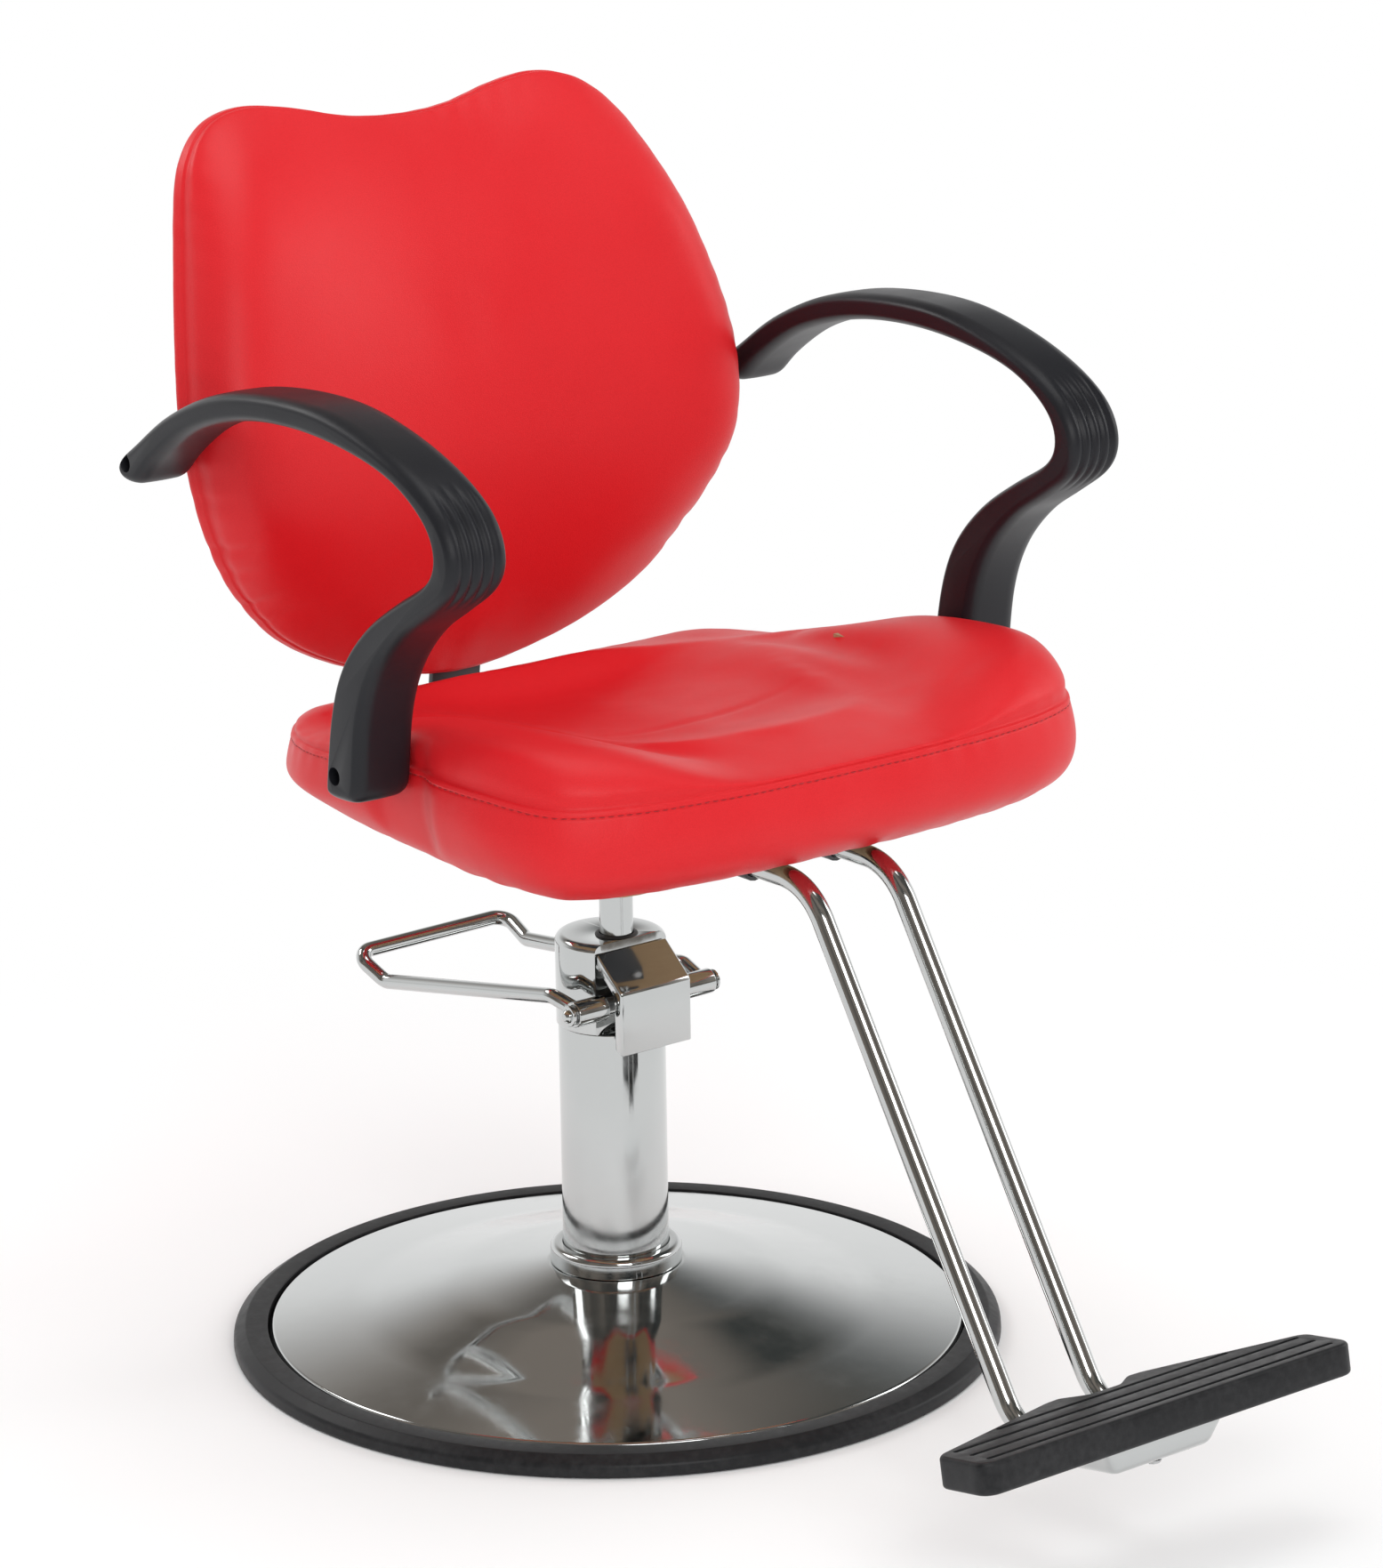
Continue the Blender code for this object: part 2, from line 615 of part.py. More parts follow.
def make_hood():
    """Bent sheet hood over the axle slot: front face, slope and side flanges."""
    bm = bmesh.new()
    side = [(HOOD_FRONT_Y, HOOD_LOW_Z), (HOOD_FRONT_Y, HOOD_BEND_Z), (HOOD_TOP_Y, HOOD_TOP_Z)]
    slope = math.atan2(HOOD_TOP_Z - HOOD_BEND_Z, HOOD_TOP_Y - HOOD_FRONT_Y)
    drop = HOOD_FLANGE / math.cos(slope)
    flange = [(HOOD_FRONT_Y + HOOD_FLANGE, HOOD_LOW_Z + 0.004),
              (HOOD_FRONT_Y + HOOD_FLANGE, HOOD_BEND_Z + HOOD_FLANGE * math.tan(slope) - drop),
              (HOOD_TOP_Y, HOOD_TOP_Z - drop)]
    rows = [[(-HOOD_HALF, *p) for p in flange], [(-HOOD_HALF, *p) for p in side],
            [(HOOD_HALF, *p) for p in side], [(HOOD_HALF, *p) for p in flange]]
    grid = [[bm.verts.new(place) for place in row] for row in rows]
    for near, far in zip(grid, grid[1:]):
        for i in range(2):
            bm.faces.new((near[i], near[i + 1], far[i + 1], far[i]))
    obj = add_part("lever_hood", mesh_from(bm, "lever_hood"), "chrome")
    sheet = obj.modifiers.new("Sheet", "SOLIDIFY")
    sheet.thickness = HOOD_T
    sheet.offset = -1.0
    sheet.use_even_offset = True
    bevelled(obj, HOOD_T * 0.3, 1)
    return obj


# ================================================================ lever
def make_lever():
    joint = add_empty("lever_axis", (0, AXLE_Y, AXLE_Z))
    axle = add_part("lever_axle", cylinder_mesh("lever_axle", AXLE_R, 2 * AXLE_HALF, 20), "steel")
    axle.matrix_world = aimed((0, AXLE_Y, AXLE_Z), ACROSS)
    nose = rod_cutter("cam_nose", (0, AXLE_Y + TOE_REACH, AXLE_Z - TOE_DROP), ACROSS, TOE_R, 0.014, 16)
    web = box_cutter("cam_web", (-0.007, AXLE_Y, AXLE_Z - TOE_DROP),
                     (0.007, AXLE_Y + TOE_REACH, AXLE_Z + AXLE_R * 0.5))
    boolean(axle, nose, "UNION")
    boolean(axle, web, "UNION")

    root_x = BOSS_OUT_X - LEVER_R - 0.0007
    root = (AXLE_Y, AXLE_Z + 0.0010)
    crook = (AXLE_Y + 0.0270, AXLE_Z + 0.0080)
    near = [(-root_x, *root), (-0.0620, *crook), (-0.0680, PEDAL_Y - 0.0240, PEDAL_Z - 0.0190),
            (PEDAL_NEAR_X, PEDAL_Y, PEDAL_Z)]
    far = [(PEDAL_FAR_X, PEDAL_Y, PEDAL_Z + 0.0020), (0.0570, PEDAL_Y - 0.0370, PEDAL_Z - 0.0080),
           (0.0570, PEDAL_Y - 0.0700, PEDAL_Z - 0.0040), (0.0600, *crook), (root_x, *root)]
    path = filleted(near + far, LEVER_BENDS, 2)
    lever = made_mesh(swept_rod("foot_lever", path, LEVER_R, "chrome", 3), "chrome")
    span = BOSS_OUT_X - BOSS_IN_X
    for side in (-1, 1):
        centre = (side * (BOSS_IN_X + BOSS_OUT_X) / 2, AXLE_Y, AXLE_Z)
        boolean(lever, rod_cutter("boss_%d" % side, centre, ACROSS, BOSS_R, span, 24), "UNION")
    for side in (-1, 1):
        centre = (side * (BOSS_IN_X + BOSS_OUT_X) / 2, AXLE_Y, AXLE_Z)
        bore(lever, centre, ACROSS, AXLE_R + GAP, span * 1.3, 20)

    nuts = []
    dome = [(0.0, 0.0062), (0.0030, 0.0055), (0.0048, 0.0035), (0.0048, 0.0022), (0.0078, 0.0022),
            (0.0078, 0.0), (0.0, 0.0)]
    for side, label in ((-1, "right"), (1, "left")):
        nut = lathe("axle_nut_" + label, dome, "chrome", steps=14, ring=False)
        nut.matrix_world = aimed((side * (AXLE_HALF + GAP), AXLE_Y, AXLE_Z), (side, 0, 0))
        nuts.append(nut)
    carried_by(joint, axle, lever, *nuts)


def make_plunger():
    y = AXLE_Y + TOE_REACH
    top = AXLE_Z - TOE_DROP - TOE_R - GAP
    low = top - PLUNGER_LEN
    joint = add_empty("plunger_axis", (0, y, top))
    plunger = lathe("plunger", [
        (0.0, top), (PLUNGER_R * 0.6, top), (PLUNGER_R, top - 0.0010), (PLUNGER_R, low),
        (0.0, low)], "steel", (0, y, 0), steps=14, ring=False)
    carried_by(joint, plunger)

    floor = PLUNGER_BORE_Z + GAP + SPRING_WIRE_R
    height = low - GAP - SPRING_WIRE_R - floor
    turns = SPRING_COILS
    steps = 7
    middle_r = SPRING_R - SPRING_WIRE_R
    coil = [(middle_r * math.cos(math.tau * k / steps), y + middle_r * math.sin(math.tau * k / steps),
             floor + height * k / (turns * steps)) for k in range(turns * steps + 1)]
    swept_rod("plunger_spring", coil, SPRING_WIRE_R, "steel", 0)


# ================================================================ ram
def make_ram():
    foot_top = PLATE_T + GAP + FOOT_H + GAP
    low = foot_top + PISTON_LIFT
    lift = add_empty("seat_lift_axis", (0, RAM_Y, low))
    ring_h = PISTON_RING_H
    ring_in = CYL_BORE_R - RING_GROOVE_DEEP
    outer = CYL_BORE_R - RUNNING
    groove_z = low + (PISTON_H - ring_h) / 2
    socket_r = RAM_R - ROD_TAIL_IN
    piston = lathe("piston", [
        (outer, low + PISTON_H), (outer, groove_z + ring_h), (ring_in, groove_z + ring_h),
        (ring_in, groove_z), (outer, groove_z), (outer, low), (socket_r + GAP, low),
        (socket_r + GAP, low + PISTON_H)], "steel", (0, RAM_Y, 0), steps=20)
    seal = lathe("piston_seal", [
        (CYL_BORE_R - GAP, groove_z + ring_h - GAP), (CYL_BORE_R - GAP, groove_z + GAP),
        (ring_in + GAP, groove_z + GAP), (ring_in + GAP, groove_z + ring_h - GAP)],
        "seal_rubber", (0, RAM_Y, 0), steps=20)
    carried_by(lift, piston, seal)

    swivel = add_empty("seat_swivel_axis", (0, RAM_Y, RAM_TOP_Z))
    swivel.parent = lift
    swivel.matrix_parent_inverse = Matrix.Translation((0, -RAM_Y, -low))
    rod = lathe("ram_rod", [
        (0.0, RAM_TOP_Z), (RAM_R - 0.001, RAM_TOP_Z), (RAM_R, RAM_TOP_Z - 0.001),
        (RAM_R, low + PISTON_H + GAP), (socket_r, low + PISTON_H + GAP), (socket_r, low),
        (0.0, low)], "chrome", (0, RAM_Y, 0), steps=24, ring=False)
    return swivel, [rod]


# ================================================================ seat
def seat_outline(u, v):
    """Plan of the seat at its widest: u across, v from the front to the rear."""
    y = SEAT_FRONT_Y + (SEAT_REAR_Y - SEAT_FRONT_Y) * (v + 1) / 2
    front_round = 1 - 0.115 * smooth_step(-0.55, -1.0, v) ** 1.5 if v < -0.55 else 1.0
    taper = 1 - 0.155 * smooth_step(0.0, 1.0, v)
    half = SEAT_HALF * front_round * taper
    bow = 0.022 * u * u * smooth_step(-0.4, -1.0, v) if v < -0.4 else 0.0
    tuck = 0.030 * u ** 4 * smooth_step(0.4, 1.0, v) if v > 0.4 else 0.0
    return u * half, y + bow - tuck


def seat_face_z(u, v):
    """Height of the seat's face: dished middle, side ridges and front roll."""
    ridge = SEAT_RIDGE * smooth_step(0.35, 0.80, abs(u)) * smooth_step(1.10, 0.0, v)
    dish = -SEAT_DISH * smooth_step(0.85, 0.10, abs(u)) * smooth_step(-0.80, -0.20, v)
    front = SEAT_SWELL * smooth_step(-0.10, -0.55, v) * smooth_step(-1.05, -0.70, v)
    rear = SEAT_SWELL * smooth_step(0.50, 0.95, v)
    return SEAM_Z + 0.0010 + ridge + dish + front + rear


def seat_place(u, v, h):
    x, y = seat_outline(u, v)
    edge = max(abs(u), abs(v))
    if h > 0.99:
        roll = SEAT_ROLL * smooth_step(0.70, 1.0, edge)
        scale, z = 1 - 0.010 * (edge > 0.99), seat_face_z(u, v) - roll
    elif h < 0.01:
        scale, z = 0.925, SEAT_LOW_Z
    else:
        scale, z = (1.014, SEAM_Z - 0.014) if h > 0.5 else (0.992, SEAT_LOW_Z + 0.018)
    return (x * scale, SEAT_MID_Y + (y - SEAT_MID_Y) * scale, z)


def seat_board_outline(extra):
    """Plan of the plywood board, with room added round it."""
    inset = BOARD_INSET - extra
    rows = [-0.96, -0.5, 0.0, 0.5, 0.96]
    side = [seat_outline(1.0, v) for v in rows]
    right = [(x - inset, y, 0.0) for x, y in side]
    right[0] = (right[0][0] - 0.004, SEAT_FRONT_Y + inset + 0.006, 0.030)
    right[-1] = (right[-1][0] + 0.006, SEAT_REAR_Y - inset + 0.001, 0.042)
    left = [(-x, y, r) for x, y, r in reversed(right)]
    return rounded_corners(right + left, 3)


def seat_solid(name, outline, low, high, finish):
    plate = flat_outline(name, outline, high - low, finish)
    plate.location.z = (low + high) / 2
    return made_mesh(plate, finish)


def rail_box(side, extra):
    x_in = SEAT_HALF - BOARD_INSET - RAIL_W
    xs = sorted((side * (x_in - extra), side * (x_in + RAIL_W + extra)))
    mid_y = ARM_SCREW_FRONT[0]
    return ((xs[0], mid_y - RAIL_LEN / 2 - extra, SEAT_LOW_Z - 0.001),
            (xs[1], mid_y + RAIL_LEN / 2 + extra, RAIL_TOP_Z + extra))


def arm_screw_seat(side, spot):
    """Where an arm screw's head bears, at the floor of the recess in the arm."""
    return (side * (ARM_IN_X + ARM_W - ARM_HEAD_DEPTH + GAP), *spot)


def make_seat():
    board = seat_solid("seat_board", seat_board_outline(0.0), BOARD_Z, BOARD_Z + BOARD_T, "plywood")
    cushion = padded_slab("seat_cushion", 8, 8, 2, seat_place, "red_vinyl")
    pocket = seat_solid("seat_pocket", seat_board_outline(GAP), SEAT_LOW_Z - 0.010,
                        BOARD_Z + BOARD_T + GAP, "steel")
    boolean(cushion, hide_cutter(pocket))
    for side in (-1, 1):
        low, high = rail_box(side, 0.0)
        rail = box_cutter("rail_%d" % side, (low[0], low[1], BOARD_Z + BOARD_T / 2), high)
        boolean(board, rail, "UNION")
        low, high = rail_box(side, GAP)
        boolean(cushion, box_cutter("rail_room_%d" % side, low, high))
        for holed in (cushion, board):
            screw_hole(holed, arm_screw_seat(side, ARM_SCREW_FRONT), ACROSS, ARM_SCREW)

    steel_z = BOARD_Z - GAP
    plate = add_part("seat_plate", box_mesh("seat_plate", (PLATE_SIZE, PLATE_SIZE, PLATE_STEEL)),
                     "black_steel", (0, RAM_Y + PLATE_Y, steel_z - PLATE_STEEL / 2))
    bevelled(plate, 0.0008, 1)
    socket_top = steel_z - PLATE_STEEL - GAP
    hole = RAM_R + GAP
    roof = RAM_TOP_Z + GAP
    socket = lathe("seat_socket", [
        (0.0, socket_top), (SOCKET_R, socket_top), (SOCKET_R, socket_top - SOCKET_H + 0.003),
        (SOCKET_R - 0.003, socket_top - SOCKET_H), (hole, socket_top - SOCKET_H), (hole, roof),
        (0.0, roof)], "black_steel", (0, RAM_Y, 0), steps=28, ring=False)
    bolt = screw_mesh("seat_plate_bolt", PLATE_BOLT)
    pieces = [board, cushion, plate, socket]
    reach = PLATE_SIZE / 2 - PLATE_BOLT_IN
    for i, (sx, sy) in enumerate(((-1, -1), (1, -1), (1, 1), (-1, 1))):
        seat = (sx * reach, RAM_Y + PLATE_Y + sy * reach, steel_z - PLATE_STEEL - GAP)
        screw_hole(plate, seat, UP, PLATE_BOLT)
        screw_hole(board, seat, UP, PLATE_BOLT)
        pieces.append(place_screw("seat_plate_bolt_%d" % (i + 1), bolt, seat, UP))
    return pieces, board, plate


# ================================================================ back
def back_edge_y(z):
    """Middle of the back's edge: upright below, leaning back above the lumbar bulge."""
    d = z - BACK_LUMBAR_Z
    swell = math.sqrt(d * d + 0.030 ** 2) - 0.030
    return BACK_Y + 0.025 * d + 0.175 * swell + 0.70 * max(d, 0.0) ** 2


# height above BACK_LOW_Z, and the share of BACK_HALF the outline has there
BACK_SIDE = [(0.084, 0.775), (0.104, 0.849), (0.134, 0.927), (0.164, 0.971), (0.194, 0.996),
             (0.224, 1.000), (0.254, 0.986), (0.284, 0.961), (0.314, 0.931), (0.344, 0.894),
             (0.374, 0.851), (0.399, 0.796)]


def between(table, value):
    """Straight-line reading of an ordered (key, value) list."""
    if value <= table[0][0]:
        return table[0][1]
    for (k0, v0), (k1, v1) in zip(table, table[1:]):
        if value <= k1:
            return v0 + (v1 - v0) * (value - k0) / (k1 - k0)
    return table[-1][1]


def back_plan(u, v, inset=0.0):
    """Outline of the back: u across, v from the bottom to the top, as (x, z)."""
    share = (v + 1) / 2
    side_low = BACK_LOW_Z + BACK_SIDE[0][0] + 0.8 * inset
    side_high = BACK_LOW_Z + BACK_SIDE[-1][0] - 0.8 * inset
    z_side = side_low + (side_high - side_low) * share
    side_x = between(BACK_SIDE, z_side - BACK_LOW_Z) * BACK_HALF - inset
    ear = math.exp(-((abs(u) - 0.70) / 0.30) ** 2)
    top_z = BACK_DIP_Z + (BACK_EAR_Z - BACK_DIP_Z) * ear - 0.034 * smooth_step(0.72, 1.0, abs(u))
    top_z -= inset
    low_z = BACK_LOW_Z + 0.004 + 0.082 * abs(u) ** 2.2 + inset
    z_mid = low_z + (top_z - low_z) * share
    z = z_side + (z_mid - z_side) * (1 - abs(u) ** 3)
    z_rim = low_z if v < 0 else top_z
    z += (z_rim - z) * (abs(v) ** 8)
    return u * side_x, z


def back_forward(u, v):
    """How far the face stands in front of the edge: side bolsters round a dish."""
    wall = smooth_step(0.30, 0.80, abs(u)) * smooth_step(1.04, 0.80, abs(u))
    level = DISH + (BOLSTER - DISH) * wall
    level *= smooth_step(1.12, 0.62, abs(v)) * 0.75 + 0.25
    return level


def back_at(x, z, depth):
    """Point at a depth behind the back's edge surface, square to it."""
    step = 0.001
    slope = (back_edge_y(z + step) - back_edge_y(z - step)) / (2 * step)
    length = math.sqrt(1 + slope * slope)
    return (x, back_edge_y(z) + depth / length, z - depth * slope / length)


def back_place(u, v, h):
    x, z = back_plan(u, v)
    rim = max(abs(u), abs(v)) > 0.99
    if h > 0.99:
        scale, depth = (0.985, -0.014) if rim else (1.0, -back_forward(u, v))
    elif h < 0.01:
        scale, depth = 0.985, BACK_BOARD_T + GAP
    else:
        scale, depth = (1.006, -0.004) if h > 0.5 else (1.0, 0.009)
    return back_at(x * scale, BACK_WIDE_Z + (z - BACK_WIDE_Z) * scale, depth)


def back_sheet(name, inset, corners, depth, thickness, finish):
    """Moulded panel that follows the back's curve, set in from its outline."""
    bm = bmesh.new()
    bmesh.ops.create_grid(bm, x_segments=BACK_COLUMNS, y_segments=BACK_ROWS, size=1.0)
    for vert in bm.verts:
        u, v, _ = vert.co
        x, z = back_plan(u, v, inset)
        if min(abs(u), abs(v)) > 0.99:
            in_x, in_z = corners[v > 0]
            x -= math.copysign(in_x, u)
            z -= math.copysign(in_z, v)
        vert.co = back_at(x, z, depth)
    mesh = mesh_from(bm, name)
    if mesh.polygons[len(mesh.polygons) // 2].normal.y > 0:
        mesh.flip_normals()
    obj = add_part(name, mesh, finish)
    shell = obj.modifiers.new("Sheet", "SOLIDIFY")
    shell.thickness = thickness
    shell.offset = -1.0
    return obj


def bar_path():
    """Side view of the back bar: under the board, round the bend and up the back."""
    flat_z = BOARD_Z - GAP - PLATE_STEEL - GAP - BAR_T / 2
    deep = BACK_BOARD_T - BAR_T / 2 - GAP
    top = (back_edge_y(BAR_TOP_Z) + deep, BAR_TOP_Z)
    low = (back_edge_y(BAR_LEAVES_Z) + deep, BAR_LEAVES_Z)
    slope = (top[0] - low[0]) / (top[1] - low[1])
    knee_y = low[0] + slope * (flat_z - low[1])
    return [(0, BAR_FRONT_Y, flat_z), (0, knee_y, flat_z), (0, *top)]


def strip(name, path, width, thickness, finish):
    """Flat bar bent along a path in the YZ plane."""
    bm = bmesh.new()
    near = [bm.verts.new((-width / 2, p[1], p[2])) for p in path]
    far = [bm.verts.new((width / 2, p[1], p[2])) for p in path]
    for i in range(len(path) - 1):
        bm.faces.new((near[i], near[i + 1], far[i + 1], far[i]))
    obj = add_part(name, mesh_from(bm, name), finish)
    shell = obj.modifiers.new("Thickness", "SOLIDIFY")
    shell.thickness = thickness
    shell.offset = 0.0
    shell.use_even_offset = True
    return obj


def make_back(board, plate):
    path = filleted(bar_path(), [BAR_BEND_R], 6)
    bar = strip("back_bar", path, BAR_W, BAR_T, "black_steel")
    panel = back_sheet("back_board", BACK_BOARD_INSET, BACK_BOARD_CORNERS, 0.0, BACK_BOARD_T,
                       "plywood")
    cushion = padded_slab("back_cushion", BACK_COLUMNS, BACK_ROWS, 2, back_place, "red_vinyl")
    pocket = back_sheet("back_pocket", BACK_BOARD_INSET - 2 * GAP, BACK_BOARD_CORNERS, -2 * GAP,
                        BACK_BOARD_T + 0.012, "steel")
    boolean(cushion, hide_cutter(pocket))
    cover = back_sheet("back_cover", BACK_COVER_INSET, BACK_COVER_CORNERS, BACK_BOARD_T + 6 * GAP,
                       BACK_COVER_T, "red_vinyl")

    extra = 0.0040
    start, knee, end = (Vector(p) for p in bar_path())
    end += (end - knee).normalized() * GAP
    groove = strip("bar_groove", [p + Vector((0, extra / 2, 0)) for p in (start, knee, end)],
                   BAR_W + 2 * GAP, BAR_T + 2 * GAP + extra, "steel")
    hide_cutter(groove)
    bottom = back_edge_y(BACK_LOW_Z)
    lead = box_cutter("bar_lead", (-BAR_W / 2 - GAP, bottom, SEAT_LOW_Z),
                      (BAR_W / 2 + GAP, bottom + 0.030, BACK_LOW_Z + BACK_BOARD_INSET + 0.012))
    boolean(panel, groove)
    boolean(cushion, lead)

    pieces = [bar, panel, cushion, cover]
    bolt = screw_mesh("bar_bolt", BAR_BOLT)
    under = BOARD_Z - 3 * GAP - PLATE_STEEL - BAR_T
    for i, y in enumerate(BAR_BOLT_Y):
        for holed in (bar, plate, board):
            screw_hole(holed, (0, y, under), UP, BAR_BOLT)
        pieces.append(place_screw("bar_bolt_%d" % (i + 1), bolt, (0, y, under), UP))
    screw = screw_mesh("back_screw", BACK_SCREW)
    for i, z in enumerate(BACK_SCREW_Z):
        middle = Vector(back_at(0, z, BACK_BOARD_T))
        inward = (Vector(back_at(0, z, 0)) - middle).normalized()
        seat = middle - inward * 2 * GAP
        screw_hole(bar, seat, inward, BACK_SCREW)
        screw_hole(panel, seat, inward, BACK_SCREW)
        bore(cover, seat, inward, BACK_SCREW.head_r + 3 * GAP, 2 * (BACK_SCREW.head_h + 4 * GAP))
        pieces.append(place_screw("back_screw_%d" % (i + 1), screw, seat, inward))
    for side in (-1, 1):
        for holed in (cushion, panel):
            screw_hole(holed, arm_screw_seat(side, ARM_SCREW_REAR), ACROSS, ARM_SCREW)
    return pieces


# ================================================================ arms
# y, and height above SEAT_LOW_Z
ARM_INNER = [(-0.0700, 0.0600), (-0.0800, 0.1200), (-0.0960, 0.1580), (-0.1250, 0.1890),
             (-0.1600, 0.2120), (-0.1950, 0.2320), (-0.2060, 0.2490), (-0.1960, 0.2700),
             (-0.1600, 0.2920), (-0.1050, 0.3050), (-0.0400, 0.3100), (0.0250, 0.3050),
             (0.0850, 0.2880), (0.1320, 0.2600), (0.1560, 0.2380)]
ARM_OUTER = [(0.1760, 0.2390), (0.1810, 0.2530), (0.1560, 0.2710), (0.1150, 0.2970),
             (0.0600, 0.3190), (0.0000, 0.3290), (-0.0700, 0.3300), (-0.1300, 0.3190),
             (-0.1830, 0.3000), (-0.2180, 0.2770), (-0.2310, 0.2500), (-0.2230, 0.2260),
             (-0.1930, 0.2050), (-0.1620, 0.1850), (-0.1340, 0.1550), (-0.1180, 0.1180),
             (-0.1110, 0.0660)]
ARM_FOOT = [(-0.1060, 0.0580), (-0.0770, 0.0570)]


def arm_solid(name, x):
    """Moulded arm: one side view drawn as two smooth edges, rounded all round."""
    outline = spline_through(ARM_INNER, 2) + spline_through(ARM_OUTER, 2)
    outline += [Vector(point) for point in ARM_FOOT]
    flat = flat_outline(name, outline, ARM_W, "black_plastic", ARM_EDGE_R, 1)
    upright = Matrix(((0, 0, 1, 0), (1, 0, 0, 0), (0, 1, 0, 0), (0, 0, 0, 1)))
    flat.matrix_world = Matrix.Translation((x, 0, SEAT_LOW_Z)) @ upright
    arm = made_mesh(flat, "black_plastic")
    arm.data.transform(arm.matrix_world)
    arm.matrix_world = Matrix.Identity(4)
    return arm


def cut_grip_grooves(arm, x):
    """Shallow grooves round the tip of the arm, where the fingers fold over it."""
    deep = ARM_GROOVE_DEPTH
    for i in range(ARM_GROOVES):
        offset = (i - (ARM_GROOVES - 1) / 2) * ARM_GROOVE_PITCH
        label = "grip_groove_%s_%d" % (arm.name, i)
        ring = lathe(label, [(ARM_TIP_R, deep), (ARM_TIP_R + deep, 0.0), (ARM_TIP_R, -deep),
                             (ARM_TIP_R - deep, 0.0)], "steel", steps=30)
        ring.matrix_world = aimed((x + offset, *ARM_TIP), ACROSS) @ ARM_GROOVE_TURN
        boolean(arm, hide_cutter(ring))


def make_arms():
    pieces = []
    screw = screw_mesh("arm_screw", ARM_SCREW)
    for side, label in ((-1, "right"), (1, "left")):
        x = side * (ARM_IN_X + ARM_W / 2)
        arm = arm_solid("armrest_" + label, x)
        cut_grip_grooves(arm, x)
        for spot, place in ((ARM_SCREW_FRONT, "front"), (ARM_SCREW_REAR, "rear")):
            seat = arm_screw_seat(side, spot)
            screw_hole(arm, seat, ACROSS, ARM_SCREW)
            outer = (side * (ARM_IN_X + ARM_W), *spot)
            bore(arm, outer, ACROSS, ARM_SCREW.head_r + GAP, 2 * ARM_HEAD_DEPTH, 12)
            pieces.append(place_screw("arm_screw_%s_%s" % (place, label), screw, seat,
                                      (-side, 0, 0)))
        pieces.append(arm)
    return pieces


# ================================================================ footrest
def pad_point(back, depth):
    """(y, z) on the pad: back from its front top edge, and depth below its face."""
    y, z = PAD_FRONT
    return (y + back * math.cos(PAD_TILT) - depth * math.sin(PAD_TILT),
            z - back * math.sin(PAD_TILT) - depth * math.cos(PAD_TILT))


def footrest_path(x):
    """Middle line of a tube: under the seat, down the slope and under the pad."""
    toe_end = pad_point(PAD_BORDER * 3.5, PAD_T + GAP + TUBE_R)
    foot_z = toe_end[1] - math.tan(PAD_TILT) * (TUBE_FOOT_Y - toe_end[0])
    return filleted([(x, TUBE_REAR_Y, TUBE_Z), (x, TUBE_KNEE_Y, TUBE_Z), (x, TUBE_FOOT_Y, foot_z),
                     (x, *toe_end)], [TUBE_BEND_R, TUBE_TOE_BEND_R], 5)


def strap_profile():
    """Front view of a strap that holds both tubes up under the seat board."""
    wing_z = BOARD_Z - GAP - STRAP_T / 2
    hug = TUBE_R + 2 * GAP + STRAP_T / 2
    points = [(TUBE_X + hug + STRAP_WING, wing_z), (TUBE_X + hug, wing_z)]
    for k in range(9):
        turn = -math.pi * k / 8
        points.append((TUBE_X + hug * math.cos(turn), TUBE_Z + hug * math.sin(turn)))
    points.append((TUBE_X - hug, wing_z))
    return points + [(-x, z) for x, z in reversed(points)]


def make_strap(name, y):
    bm = bmesh.new()
    half = STRAP_W / 2
    profile = strap_profile()
    near = [bm.verts.new((x, y - half, z)) for x, z in profile]
    far = [bm.verts.new((x, y + half, z)) for x, z in profile]
    for i in range(len(profile) - 1):
        bm.faces.new((near[i], near[i + 1], far[i + 1], far[i]))
    bmesh.ops.remove_doubles(bm, verts=bm.verts, dist=0.0002)
    strap = add_part(name, mesh_from(bm, name), "black_steel")
    shell = strap.modifiers.new("Thickness", "SOLIDIFY")
    shell.thickness = STRAP_T
    shell.offset = 0.0
    shell.use_even_offset = True
    return strap


def pad_outline():
    """Top view of the pad: x across, back from the front edge."""
    half = [(PAD_HALF, 0.0, 0.0120), (PAD_HALF, PAD_END_DEPTH - 0.004, 0.0060),
            (PAD_HALF - 0.0060, PAD_END_DEPTH + 0.001, 0.0),
            (PAD_SHOULDER_X, PAD_MID_DEPTH - 0.001, 0.0060),
            (PAD_NOTCH_X, PAD_MID_DEPTH, 0.0040),
            (PAD_NOTCH_IN_X, PAD_MID_DEPTH - PAD_NOTCH_DEPTH, 0.0060)]
    other = [(-x, y, r) for x, y, r in reversed(half)]
    return rounded_corners(half + other, 3)


def on_pad(back, depth):
    """World matrix of a point on the pad, its +Z square to the pad's face."""
    return (Matrix.Translation((0, *pad_point(back, depth)))
            @ Matrix.Rotation(-PAD_TILT, 4, "X"))


def tilted(obj):
    """Stand a shape drawn as x, back, up on the pad's tilted face."""
    bpy.context.view_layer.update()
    obj.matrix_world = on_pad(0.0, 0.0) @ obj.matrix_world
    return obj


def groove_half_length(back):
    """Half the length a groove has inside the pad's border, at that depth."""
    if back < PAD_END_DEPTH:
        return PAD_HALF - PAD_BORDER - 0.003
    share = (back - PAD_END_DEPTH) / (PAD_MID_DEPTH - PAD_END_DEPTH)
    return PAD_HALF + (PAD_SHOULDER_X - PAD_HALF) * share - 1.9 * PAD_BORDER


